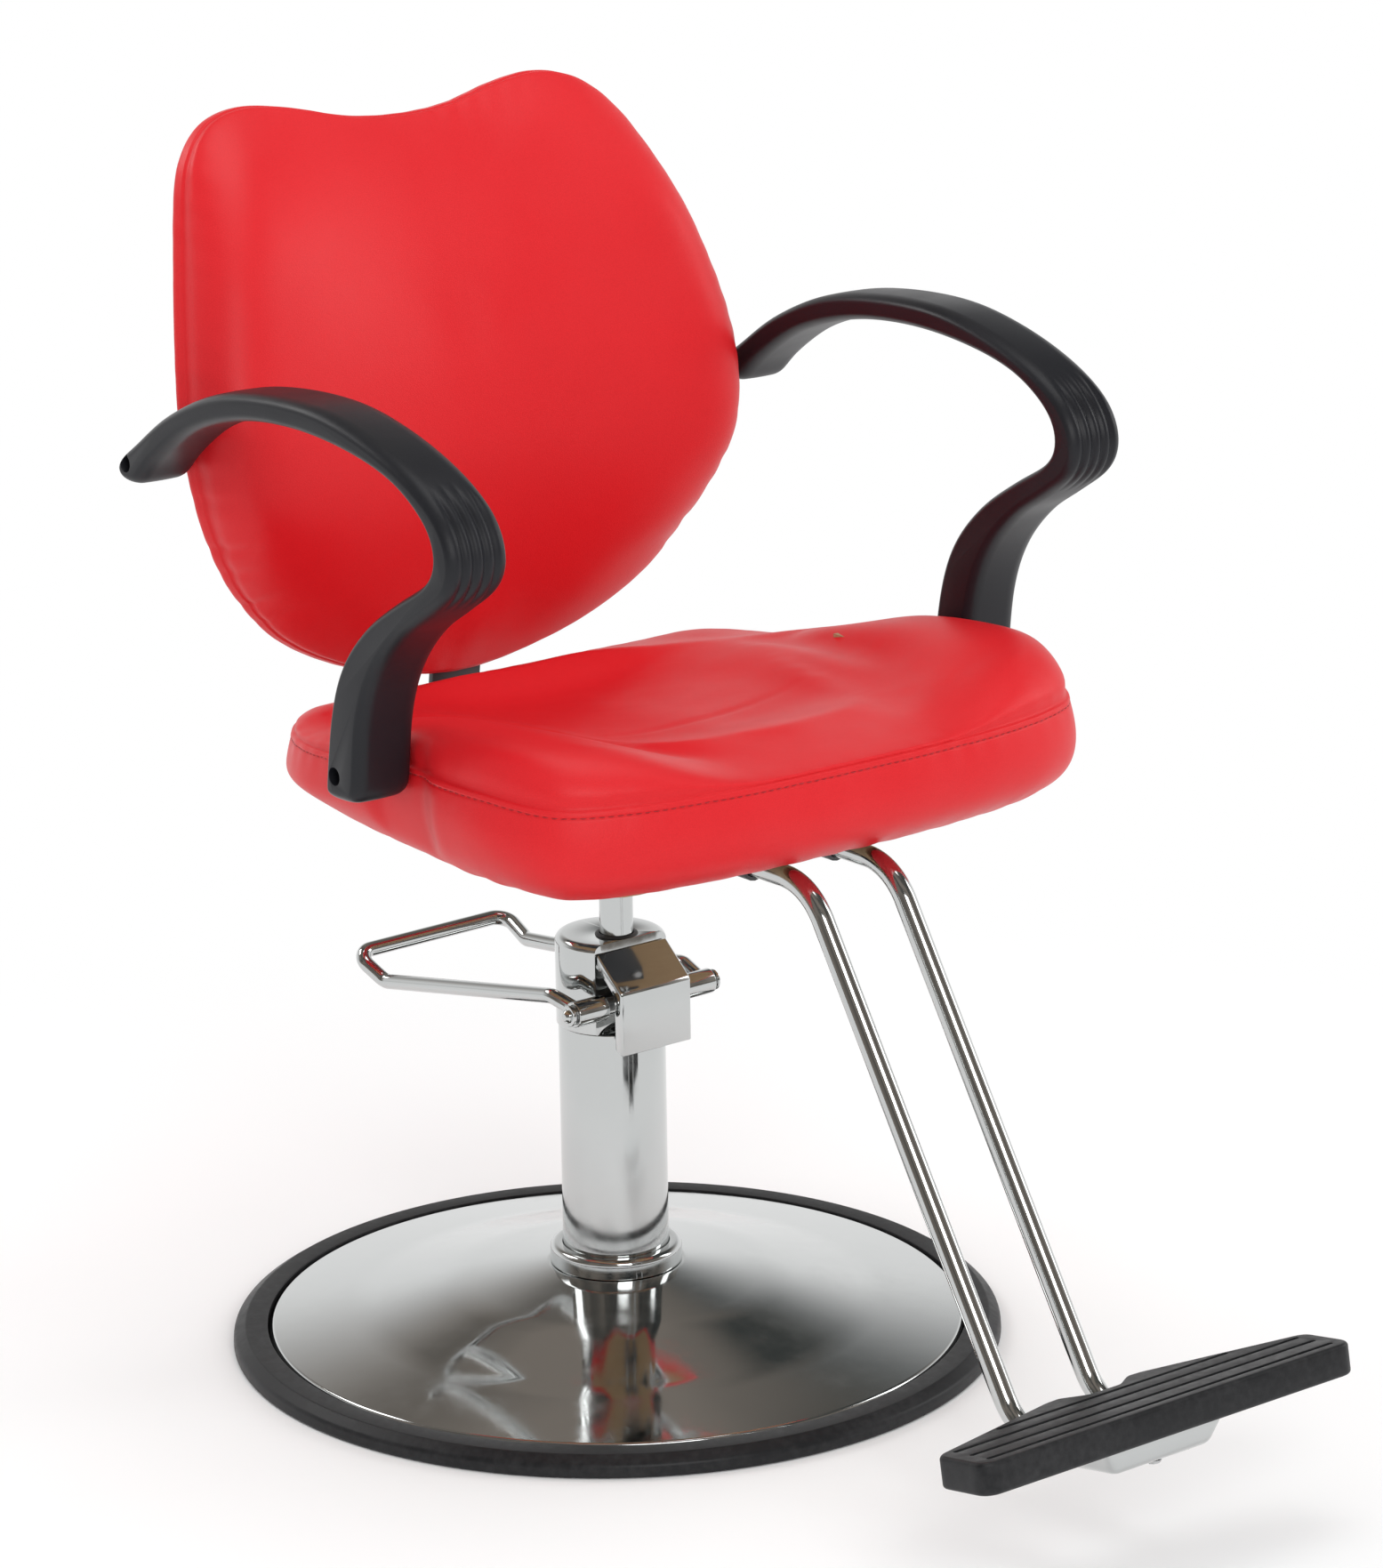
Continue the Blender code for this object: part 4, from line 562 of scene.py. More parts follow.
def add_loft(bm, rows):
    """Closed rows of points joined each to the next, both ends filled."""
    rings = [[bm.verts.new(point) for point in row] for row in rows]
    for near, far in zip(rings, rings[1:]):
        for k in range(len(near)):
            after = (k + 1) % len(near)
            bm.faces.new((near[k], near[after], far[after], far[k]))
    bm.faces.new(rings[0])
    bm.faces.new(rings[-1])


def lofted_mesh(name, rows):
    bm = bmesh.new()
    add_loft(bm, rows)
    return to_mesh(bm, name)


def swept_mesh(name, path, radius, sides=40):
    """Round bar along a path, with flat ends."""
    rows = []
    normal = None
    for i, place in enumerate(path):
        ahead = Vector(path[min(i + 1, len(path) - 1)]) - Vector(path[max(i - 1, 0)])
        ahead.normalize()
        if normal is None:
            normal = ahead.orthogonal().normalized()
        normal = (normal - ahead * normal.dot(ahead)).normalized()
        rows.append(circle(place, normal, ahead.cross(normal), radius, sides))
    return lofted_mesh(name, rows)


def plain_object(name, mesh):
    obj = bpy.data.objects.new(name, mesh)
    bpy.context.scene.collection.objects.link(obj)
    return obj


def applied(obj, name):
    """The mesh an object's modifiers make; the object itself is removed."""
    bpy.context.view_layer.update()
    depsgraph = bpy.context.evaluated_depsgraph_get()
    mesh = bpy.data.meshes.new_from_object(obj.evaluated_get(depsgraph))
    mesh.transform(obj.matrix_world)
    mesh.name = name
    bpy.data.objects.remove(obj, do_unlink=True)
    return mesh


def cut(mesh, cutters, operation="DIFFERENCE"):
    """Boolean a mesh with cutter meshes, which are used up."""
    obj = plain_object("work", mesh)
    used = [plain_object("cutter", cutter) for cutter in cutters]
    for cutter in used:
        step = obj.modifiers.new("Cut", "BOOLEAN")
        step.operation = operation
        step.solver = "EXACT"
        step.object = cutter
    made = applied(obj, mesh.name)
    for cutter in used:
        bpy.data.objects.remove(cutter, do_unlink=True)
    return made


def rounded_edges(mesh, width, segments=3, angle=math.radians(50)):
    """Bevel the edges that turn by more than the angle."""
    obj = plain_object("work", mesh)
    step = obj.modifiers.new("Round", "BEVEL")
    step.width = width
    step.segments = segments
    step.limit_method = "ANGLE"
    step.angle_limit = angle
    step.harden_normals = False
    return applied(obj, mesh.name)


def thickened(mesh, thickness, offset=-1.0):
    """An open surface made into sheet."""
    obj = plain_object("work", mesh)
    step = obj.modifiers.new("Sheet", "SOLIDIFY")
    step.thickness = thickness
    step.offset = offset
    step.use_even_offset = True
    return applied(obj, mesh.name)


def aimed(place, direction):
    """World matrix that stands a shape's own +Z along the direction."""
    turn = UP.rotation_difference(Vector(direction))
    return Matrix.Translation(place) @ turn.to_matrix().to_4x4()


def rod_mesh(centre, direction, radius, length, sides=48, far_radius=None):
    bm = bmesh.new()
    bmesh.ops.create_cone(bm, cap_ends=True, segments=sides, radius1=radius,
                          radius2=radius if far_radius is None else far_radius, depth=length)
    mesh = to_mesh(bm, "rod")
    mesh.transform(aimed(centre, direction))
    return mesh


def box_mesh(low, high):
    bm = bmesh.new()
    bmesh.ops.create_cube(bm, size=1.0)
    for vert in bm.verts:
        vert.co = [l + (h - l) * (c + 0.5) for l, h, c in zip(low, high, vert.co)]
    return to_mesh(bm, "box")


def smooth_step(low, high, value):
    t = np.clip((value - low) / (high - low), 0.0, 1.0)
    return t * t * (3 - 2 * t)


# ======== base and pump
def make_base_and_pump():
    inner = BASE_R - RING_WIDTH
    add_turned("rubber_ring", [
        (inner, RING_H, 0.0008), (BASE_R - 0.0100, RING_H, 0.0030),
        (BASE_R - 0.0012, RING_H * 0.62, 0.0050), (BASE_R - 0.0006, 0.0, 0.0022),
        (inner, 0.0, 0.0)], "black_rubber", "base", ["base_ring"], steps=192)

    hole = PUMP_R + GAP
    cover_r = inner - GAP
    skin = [(hole, COVER_TOP_Z, 0.0), (COLLAR_R + 0.002, COVER_TOP_Z, 0.012),
            (COLLAR_R + 0.072, COVER_TOP_Z - 0.0118, 0.30), (cover_r - 0.070, COVER_RIM_Z + 0.0135, 0.30),
            (cover_r - 0.0035, COVER_RIM_Z + 0.0018, 0.0030), (cover_r, COVER_LOW_Z, 0.0)]
    under = [(cover_r - COVER_T, COVER_LOW_Z, 0.0), (cover_r - 0.0050, COVER_RIM_Z + 0.0006, 0.0020)]
    under += [(r, z - COVER_T, bend) for r, z, bend in reversed(skin[:4])]
    add_turned("chrome_cover", skin + under, "chrome", "base", ["base_cover"], steps=224, arc_steps=14)

    seat = COVER_TOP_Z + GAP
    add_turned("chrome_collar", [
        (hole, seat + COLLAR_H, 0.0010), (COLLAR_R, seat + COLLAR_H, 0.0045),
        (COLLAR_R, seat, 0.0008), (hole, seat, 0.0)], "chrome", "base", ["base_collar"], arc_steps=8)

    bore = PUMP_R - PUMP_WALL
    add_turned("pump_post", [
        (bore, PUMP_TOP_Z, 0.0004), (PUMP_R, PUMP_TOP_Z, 0.0006), (PUMP_R, COVER_LOW_Z, 0.0),
        (bore, COVER_LOW_Z, 0.0)], "chrome", "base", ["pump_tube"])

    spigot_z = PUMP_TOP_Z - CAP_SPIGOT
    flange_z = PUMP_TOP_Z + GAP
    cap = turned_mesh("pump_head", [
        (0.0, CAP_TOP_Z, 0.0), (CAP_R, CAP_TOP_Z, 0.0060), (CAP_R, flange_z, 0.0006),
        (bore - GAP, flange_z, 0.0), (bore - GAP, spigot_z, 0.0), (0.0, spigot_z, 0.0)],
        steps=160, arc_steps=10)
    cap = cut(cap, [rod_mesh((0, RAM_Y, CAP_TOP_Z), UP, RAM_R + 0.0005, 0.4, 96),
                    box_mesh((-0.06, -0.06, flange_z - 0.001), (0.06, SLOT_REAR_Y, CAP_TOP_Z + 0.01))])
    cap = rounded_edges(cap, 0.0005, 2)
    add_piece("pump_head", cap, "chrome", "base", ["pump_cap"])

    ram = (0.0, RAM_Y)
    add_turned("ram_wiper", [
        (RAM_R + 0.0004, CAP_TOP_Z + 0.0016, 0.0006), (RAM_R + 0.0030, CAP_TOP_Z + 0.0010, 0.0005),
        (RAM_R + 0.0036, CAP_TOP_Z + 0.0001, 0.0), (RAM_R + 0.0004, CAP_TOP_Z + 0.0001, 0.0)],
        "seal_rubber", "base", centre=ram, steps=96)

    low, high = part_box("ram_rod")
    add_turned("ram_bar", [
        (0.0, high.z, 0.0), (RAM_R, high.z, 0.0010), (RAM_R, low.z, 0.0), (0.0, low.z, 0.0)],
        "chrome", "seat", ["ram_rod"], centre=ram, steps=96)

    low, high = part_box("seat_socket")
    outer = (high.x - low.x) / 2
    add_turned("swivel_socket", [
        (RAM_R + GAP, high.z, 0.0), (outer, high.z, 0.0006), (outer, low.z, 0.0035),
        (RAM_R + GAP, low.z, 0.0008)], "black_steel", "seat", ["seat_socket"], centre=ram, steps=128)


def make_hood():
    """Bent chrome sheet over the axle slot."""
    slope = math.atan2(HOOD_TOP_Z - HOOD_BEND_Z, HOOD_TOP_Y - HOOD_FRONT_Y)
    drop = HOOD_FLANGE / math.cos(slope)
    side = [(HOOD_FRONT_Y, HOOD_LOW_Z), (HOOD_FRONT_Y, HOOD_BEND_Z), (HOOD_TOP_Y, HOOD_TOP_Z)]
    flange = [(HOOD_FRONT_Y + HOOD_FLANGE, HOOD_LOW_Z + HOOD_FLANGE_RISE),
              (HOOD_FRONT_Y + HOOD_FLANGE, HOOD_BEND_Z + HOOD_FLANGE * math.tan(slope) - drop),
              (HOOD_TOP_Y, HOOD_TOP_Z - drop)]
    rows = [[(-HOOD_HALF, *p) for p in flange], [(-HOOD_HALF, *p) for p in side],
            [(HOOD_HALF, *p) for p in side], [(HOOD_HALF, *p) for p in flange]]
    bm = bmesh.new()
    grid = [[bm.verts.new(place) for place in row] for row in rows]
    for near, far in zip(grid, grid[1:]):
        for i in range(2):
            bm.faces.new((near[i], near[i + 1], far[i + 1], far[i]))
    folds = [edge for edge in bm.edges if not edge.is_boundary]
    bmesh.ops.bevel(bm, geom=folds, offset=HOOD_BEND_R, segments=6, affect="EDGES", profile=0.5)
    hood = thickened(to_mesh(bm, "slot_hood"), HOOD_T)
    hood = rounded_edges(hood, 0.00035, 2, math.radians(60))
    add_piece("slot_hood", hood, "chrome", "base", ["lever_hood"])


# ======== lever
def make_lever():
    root_x = BOSS_OUT_X - 0.0065
    root = (AXLE_Y, AXLE_Z + 0.0010)
    crook = (-0.0100, AXLE_Z + 0.0080)
    near = [(-root_x, *root), (-0.0620, *crook), (-0.0680, 0.1960, PEDAL_Z - 0.0190),
            (-0.0790, PEDAL_Y, PEDAL_Z)]
    far = [(0.0640, PEDAL_Y, PEDAL_Z + 0.0020), (0.0570, 0.1830, PEDAL_Z - 0.0080),
           (0.0570, 0.1500, PEDAL_Z - 0.0040), (0.0600, *crook), (root_x, *root)]
    path = filleted(near + far, [0.018, 0.012, 0.010, 0.012, 0.016, 0.030, 0.018], 10)
    bar = swept_mesh("pedal_lever", path, LEVER_R, 36)
    span = BOSS_OUT_X - BOSS_IN_X
    bosses = []
    for side in (-1, 1):
        boss = turned_mesh("boss", [(AXLE_HOLE_R, span / 2, 0.0004), (BOSS_R, span / 2, 0.0010),
                                    (BOSS_R, -span / 2, 0.0010), (AXLE_HOLE_R, -span / 2, 0.0004)],
                           steps=72)
        boss.transform(aimed((side * (BOSS_IN_X + span / 2), AXLE_Y, AXLE_Z), ACROSS))
        bosses.append(boss)
    lever = cut(bar, bosses, "UNION")
    lever = cut(lever, [rod_mesh((0, AXLE_Y, AXLE_Z), ACROSS, AXLE_HOLE_R, 0.14, 72)])
    add_piece("pedal_lever", lever, "chrome", "lever", ["foot_lever"])
    for side, label in ((-1, "right"), (1, "left")):
        nut = turned_mesh("domed_nut_" + label, NUT_PROFILE, steps=72)
        nut.transform(aimed((side * (AXLE_HALF + GAP), AXLE_Y, AXLE_Z), (side, 0, 0)))
        add_piece("domed_nut_" + label, nut, "chrome", "lever", ["axle_nut_" + label])


# ======== outlines
ARM_INNER = [(-0.0700, 0.0600), (-0.0800, 0.1200), (-0.0960, 0.1580), (-0.1250, 0.1890),
             (-0.1600, 0.2120), (-0.1950, 0.2320), (-0.2060, 0.2490), (-0.1960, 0.2700),
             (-0.1600, 0.2920), (-0.1050, 0.3050), (-0.0400, 0.3100), (0.0250, 0.3050),
             (0.0850, 0.2880), (0.1320, 0.2600), (0.1560, 0.2380)]
ARM_OUTER = [(0.1760, 0.2390), (0.1810, 0.2530), (0.1560, 0.2710), (0.1150, 0.2970),
             (0.0600, 0.3190), (0.0000, 0.3290), (-0.0700, 0.3300), (-0.1300, 0.3190),
             (-0.1830, 0.3000), (-0.2180, 0.2770), (-0.2310, 0.2500), (-0.2230, 0.2260),
             (-0.1930, 0.2050), (-0.1620, 0.1850), (-0.1340, 0.1550), (-0.1180, 0.1180),
             (-0.1110, 0.0660)]
ARM_FOOT = [(-0.1060, 0.0580), (-0.0770, 0.0570)]
# half plans, from the middle of the front or bottom round to the middle of the other end
SEAT_PLAN = [(0.0, -0.2890), (0.0700, -0.2880), (0.1300, -0.2830), (0.1850, -0.2720),
             (0.2280, -0.2510), (0.2480, -0.2110), (0.2540, -0.1500), (0.2495, -0.0950),
             (0.2450, -0.0400), (0.2400, 0.0050), (0.2310, 0.0500), (0.2200, 0.0800),
             (0.2040, 0.1050), (0.1800, 0.1240), (0.1450, 0.1330), (0.0750, 0.1350), (0.0, 0.1350)]
BACK_PLAN = [(0.0, 0.4785), (0.0700, 0.4885), (0.1300, 0.5100), (0.1700, 0.5340),
             (0.1955, 0.5600), (0.2130, 0.5840), (0.2264, 0.6100), (0.2375, 0.6400),
             (0.2432, 0.6700), (0.2446, 0.7000), (0.2410, 0.7300), (0.2350, 0.7600),
             (0.2275, 0.7900), (0.2185, 0.8200), (0.2085, 0.8500), (0.1950, 0.8790),
             (0.1700, 0.9030), (0.1370, 0.9120), (0.0950, 0.9080), (0.0450, 0.8970), (0.0, 0.8940)]


def spline_through(points, per_span):
    """Points of a smooth open curve through the given (a, b) points."""
    knots = [points[0]] + list(points) + [points[-1]]
    curve = []
    for i in range(1, len(knots) - 2):
        p0, p1, p2, p3 = (Vector(knots[k]) for k in (i - 1, i, i + 1, i + 2))
        for k in range(per_span):
            t = k / per_span
            curve.append(0.5 * (2 * p1 + (p2 - p0) * t + (2 * p0 - 5 * p1 + 4 * p2 - p3) * t ** 2
                                + (3 * p1 - p0 - 3 * p2 + p3) * t ** 3))
    curve.append(Vector(points[-1]))
    return curve


def evenly_spaced(loop, count):
    """Points at even distances round a closed loop, as an array."""
    ring = np.array([tuple(p)[:2] for p in loop])
    closed = np.vstack([ring, ring[:1]])
    along = np.concatenate([[0], np.cumsum(np.linalg.norm(np.diff(closed, axis=0), axis=1))])
    places = np.arange(count) / count * along[-1]
    return np.stack([np.interp(places, along, closed[:, i]) for i in (0, 1)], axis=1)


def softened(loop, passes):
    for _ in range(passes):
        loop = loop * 0.5 + (np.roll(loop, 1, 0) + np.roll(loop, -1, 0)) * 0.25
    return loop


def inward(loop):
    """Unit normals into a closed loop that runs anticlockwise."""
    along = np.roll(loop, -1, 0) - np.roll(loop, 1, 0)
    across = np.stack([-along[:, 1], along[:, 0]], axis=1)
    return across / np.linalg.norm(across, axis=1)[:, None]


def anticlockwise(loop):
    x, y = loop[:, 0], loop[:, 1]
    area = np.sum(x * np.roll(y, -1) - np.roll(x, -1) * y)
    return loop if area > 0 else loop[::-1].copy()


def inset_stack(loop, step, count):
    """Loops ever further in from a closed loop, each drawn from the one before."""
    stack = [loop]
    for _ in range(count):
        ring = stack[-1] + inward(stack[-1]) * step
        along = np.roll(ring, -1, 0) - np.roll(ring, 1, 0)
        along /= np.linalg.norm(along, axis=1)[:, None]
        pull = (np.roll(ring, -1, 0) + np.roll(ring, 1, 0)) / 2 - ring
        slide = along * np.sum(pull * along, axis=1)[:, None]
        stack.append(ring + 0.5 * slide + 0.08 * (pull - slide))
    return np.array(stack)


def layered_mesh(name, stack, step, layers, place):
    """Loft of inset loops; layers are (height, inset), the inset one number or one a point."""
    count = stack.shape[1]
    ids = np.arange(count)
    rows = []
    for height, inset in layers:
        level = np.broadcast_to(np.clip(inset / step, 0, len(stack) - 1.001), count)
        whole = level.astype(int)
        part = (level - whole)[:, None]
        ring = stack[whole, ids] * (1 - part) + stack[whole + 1, ids] * part
        rows.append([place(a, b, height) for a, b in ring])
    return lofted_mesh(name, rows)


def rounded_layers(thickness, radius, deep, middle=2, arc=7, crown=0.0):
    """(height, inset) layers of a slab, its edges rounded by radius and deep, and crowned."""
    flat = thickness / 2 - radius
    low = [(-flat - radius * math.cos(math.pi / 2 * k / arc),
            deep * (1 - math.sin(math.pi / 2 * k / arc))) for k in range(arc)]
    level = [(-flat + 2 * flat * k / middle, 0.0) for k in range(middle + 1)]
    high = [(-h, inset) for h, inset in reversed(low)]
    return [(h, inset + crown * (2 * h / thickness) ** 2) for h, inset in low + level + high]


# ======== arms
ARM_POINTS = 440
ARM_LAYERS = 44
ARM_INSET_STEP = 0.0005
ARM_INSETS = 30
ARM_ROUND = 0.0115        # how far the rounded edges run across the arm, and how deep
ARM_ROUND_DEEP = 0.0060
ARM_CROWN = 0.0010
GRIPS = 4
GRIP_PITCH = 0.0090
GRIP_DEPTH = 0.0020
GRIP_WIDTH = 0.0022
GRIP_CENTRE = (-0.1845, 0.2515)
GRIP_REACH = 0.0340


def grip_window(loop):
    """1 on the front of the arm's tip, where the grooves run, fading out above and below."""
    far = np.linalg.norm(loop - np.array(GRIP_CENTRE), axis=1) > GRIP_REACH
    front = smooth_step(-0.180, -0.196, loop[:, 0])
    return far * front * smooth_step(0.208, 0.228, loop[:, 1]) * smooth_step(0.298, 0.276, loop[:, 1])


def make_arm(side, label):
    """Moulded arm: rounded edges, crowned section and grip grooves round its tip."""
    points = spline_through(ARM_INNER, 10) + spline_through(ARM_OUTER, 10)
    points += [Vector(point) for point in ARM_FOOT]
    loop = anticlockwise(softened(evenly_spaced(points, ARM_POINTS), 6))
    stack = inset_stack(loop, ARM_INSET_STEP, ARM_INSETS)
    window = grip_window(loop)
    layers = []
    for x, inset in rounded_layers(ARM_W, ARM_ROUND, ARM_ROUND_DEEP, ARM_LAYERS, 10, ARM_CROWN):
        grooves = sum(math.exp(-((x - (i - (GRIPS - 1) / 2) * GRIP_PITCH) / GRIP_WIDTH) ** 2)
                      for i in range(GRIPS))
        layers.append((x, inset + GRIP_DEPTH * grooves * window))
    middle = side * (ARM_IN_X + ARM_W / 2)
    name = "arm_" + label
    arm = layered_mesh(name, stack, ARM_INSET_STEP, layers,
                       lambda y, z, x: (middle + x, y, SEAT_LOW_Z + z))
    outer = side * (ARM_IN_X + ARM_W)
    cutters = [rod_mesh((outer, *spot), ACROSS, ARM_HEAD_R, 2 * ARM_HEAD_DEPTH, 40)
               for spot in (ARM_SCREW_FRONT, ARM_SCREW_REAR)]
    arm = rounded_edges(cut(arm, cutters), 0.0007)
    add_piece(name, arm, "black_plastic", "seat", ["armrest_" + label])


# ======== footrest
PAD_END_DEPTH = 0.0500
PAD_MID_DEPTH = 0.0830
PAD_SHOULDER_X = 0.0440
PAD_NOTCH_X = 0.0310
PAD_NOTCH_IN_X = 0.0140
PAD_NOTCH_DEPTH = 0.0120
PAD_BORDER = 0.0085
PAD_ROUND = 0.0030
PAD_INSET_STEP = 0.0005
PAD_GROOVES = 4
PAD_GROOVE_W = 0.0042
PAD_GROOVE_DEPTH = 0.0024
PAD_GROOVE_R = 0.0020
TRAY_T = 0.0020
TRAY_HALF = TUBE_X + TUBE_R + 0.0077
TRAY_LOW_HALF = TRAY_HALF - 0.0090
TRAY_DEPTH = 2 * TUBE_R + TRAY_T + 0.0025
TRAY_LEN = 0.0720
TRAY_FRONT = 0.0100
TRAY_SLANT = 0.0080        # how far in the front wall leans
TRAY_BEND_R = 0.0070


def pad_point(back, depth):
    """(y, z) on the pad: back from its front top edge, and depth below its face."""
    y, z = PAD_FRONT
    return (y + back * math.cos(PAD_TILT) - depth * math.sin(PAD_TILT),
            z - back * math.sin(PAD_TILT) - depth * math.cos(PAD_TILT))


def on_pad():
    return Matrix.Translation((0, *PAD_FRONT)) @ Matrix.Rotation(-PAD_TILT, 4, "X")


def tube_path(x):
    """Middle line of a footrest tube: under the seat, down the slope, under the pad."""
    toe_end = pad_point(PAD_BORDER * 3.5, PAD_T + GAP + TUBE_R)
    foot_z = toe_end[1] - math.tan(PAD_TILT) * (TUBE_FOOT_Y - toe_end[0])
    return filleted([(x, TUBE_REAR_Y, TUBE_Z), (x, TUBE_KNEE_Y, TUBE_Z),
                     (x, TUBE_FOOT_Y, foot_z), (x, *toe_end)], TUBE_BENDS, 24)


def groove_half(back):
    """Half the length a groove has inside the pad's border."""
    if back < PAD_END_DEPTH:
        return PAD_HALF - PAD_BORDER - 0.003
    share = (back - PAD_END_DEPTH) / (PAD_MID_DEPTH - PAD_END_DEPTH)
    return PAD_HALF + (PAD_SHOULDER_X - PAD_HALF) * share - 1.9 * PAD_BORDER


def make_footrest():
    for side, label in ((-1, "right"), (1, "left")):
        tube = swept_mesh("step_tube_" + label, tube_path(side * TUBE_X), TUBE_R, 48)
        tube = rounded_edges(tube, 0.0006, 2, math.radians(60))
        add_piece("step_tube_" + label, tube, "chrome", "seat", ["footrest_tube_" + label])

    half = [(PAD_HALF, 0.0, 0.0120), (PAD_HALF, PAD_END_DEPTH - 0.004, 0.0060),
            (PAD_HALF - 0.0060, PAD_END_DEPTH + 0.001, 0.0),
            (PAD_SHOULDER_X, PAD_MID_DEPTH - 0.001, 0.0060), (PAD_NOTCH_X, PAD_MID_DEPTH, 0.0040),
            (PAD_NOTCH_IN_X, PAD_MID_DEPTH - PAD_NOTCH_DEPTH, 0.0060)]
    other = [(-x, y, r) for x, y, r in reversed(half)]
    loop = anticlockwise(softened(evenly_spaced(rounded_ring(half + other, 8), 520), 2))
    layers = rounded_layers(PAD_T, PAD_ROUND, PAD_ROUND, 1, 5)
    pad = layered_mesh("step_pad", inset_stack(loop, PAD_INSET_STEP, 8), PAD_INSET_STEP, layers,
                       lambda x, back, up: (x, back, up - PAD_T / 2))
    pitch = (PAD_MID_DEPTH - PAD_NOTCH_DEPTH - 2 * PAD_BORDER - PAD_GROOVE_W) / (PAD_GROOVES - 1)
    cutters = []
    for i in range(PAD_GROOVES):
        back = PAD_BORDER + PAD_GROOVE_W / 2 + i * pitch
        near, far = back - PAD_GROOVE_W / 2, back + PAD_GROOVE_W / 2
        long = groove_half(far)
        ring = rounded_ring([(long, near, PAD_GROOVE_R), (long, far, PAD_GROOVE_R),
                             (-long, far, PAD_GROOVE_R), (-long, near, PAD_GROOVE_R)], 5)
        cutters.append(lofted_mesh("slot", [[(p.x, p.y, z) for p in ring]
                                            for z in (-PAD_GROOVE_DEPTH, PAD_GROOVE_DEPTH)]))
    pad = rounded_edges(cut(pad, cutters), 0.0008)
    pad.transform(on_pad())
    add_piece("step_pad", pad, "black_rubber", "seat", ["footrest_pad"])
    make_tray()


def make_tray():
    bm = bmesh.new()
    bmesh.ops.create_cube(bm, size=1.0)
    for vert in bm.verts:
        upper = vert.co.z > 0
        half = TRAY_HALF if upper else TRAY_LOW_HALF
        front = TRAY_FRONT if upper else TRAY_FRONT + TRAY_SLANT
        vert.co = (math.copysign(half, vert.co.x), TRAY_LEN if vert.co.y > 0 else front,
                   -PAD_T - 4 * GAP if upper else -PAD_T - GAP - TRAY_DEPTH)
    open_sides = [f for f in bm.faces
                  if f.normal.z > 0.9 or f.calc_center_median().y > TRAY_LEN - 0.001]
    bmesh.ops.delete(bm, geom=open_sides, context="FACES_ONLY")
    corners = [e for e in bm.edges if not e.is_boundary]
    bmesh.ops.bevel(bm, geom=corners, offset=TRAY_BEND_R, segments=9, affect="EDGES", profile=0.5)
    tray = thickened(to_mesh(bm, "step_tray"), TRAY_T)
    tray = rounded_edges(tray, 0.0005, 2, math.radians(60))
    tray.transform(on_pad())
    add_piece("step_tray", tray, "chrome", "seat", ["footrest_tray"])


def bent_strip(name, path, across, width, thickness):
    """Flat bar bent along a path, its width along the direction across."""
    bm = bmesh.new()
    reach = Vector(across) * width / 2
    rows = [[bm.verts.new(Vector(p) + side * reach) for p in path] for side in (-1, 1)]
    for i in range(len(path) - 1):
        bm.faces.new((rows[0][i], rows[0][i + 1], rows[1][i + 1], rows[1][i]))
    strip = thickened(to_mesh(bm, name), thickness, 0.0)
    return rounded_edges(strip, min(0.0009, thickness * 0.3))


def make_back_bar():
    flat_z = BOARD_Z - 2 * GAP - PLATE_STEEL - BAR_T / 2
    deep = BACK_BOARD_T - BAR_T / 2 - GAP
    top = (back_edge_y(BAR_TOP_Z) + deep, BAR_TOP_Z)
    low = (back_edge_y(BAR_LEAVES_Z) + deep, BAR_LEAVES_Z)
    slope = (top[0] - low[0]) / (top[1] - low[1])
    knee_y = low[0] + slope * (flat_z - low[1])
    path = filleted([(0, BAR_FRONT_Y, flat_z), (0, knee_y, flat_z), (0, *top)], [BAR_BEND_R], 28)
    bar = bent_strip("bent_bar", path, ACROSS, BAR_W, BAR_T)
    add_piece("bent_bar", bar, "black_steel", "seat", ["back_bar"])


# ======== upholstery forms
RINGS = 40                # squares from the middle of a face panel to its seam
EDGE_CROWD = 0.78         # how much closer together they lie near the seam
SEAM_W = 0.0011           # width of a seam's groove
SEAM_ROWS = [0.0010, 0.0020, 0.0030, 0.0040, 0.0050, 0.0060, 0.0070, 0.0085, 0.0110]


def back_edge_y(z):
    """Middle of the back's edge: upright below, leaning back above the lumbar bulge."""
    d = z - BACK_LUMBAR_Z
    swell = np.sqrt(d * d + 0.030 ** 2) - 0.030
    return BACK_Y + 0.025 * d + 0.175 * swell + 0.70 * np.maximum(d, 0.0) ** 2


def back_at(x, z, depth):
    """Points at a depth behind the back's edge surface, square to it."""
    step = 0.001      # over which the slope is taken
    slope = (back_edge_y(z + step) - back_edge_y(z - step)) / (2 * step)
    length = np.sqrt(1 + slope * slope)
    return np.stack([x, back_edge_y(z) + depth / length, z - depth * slope / length], axis=-1)


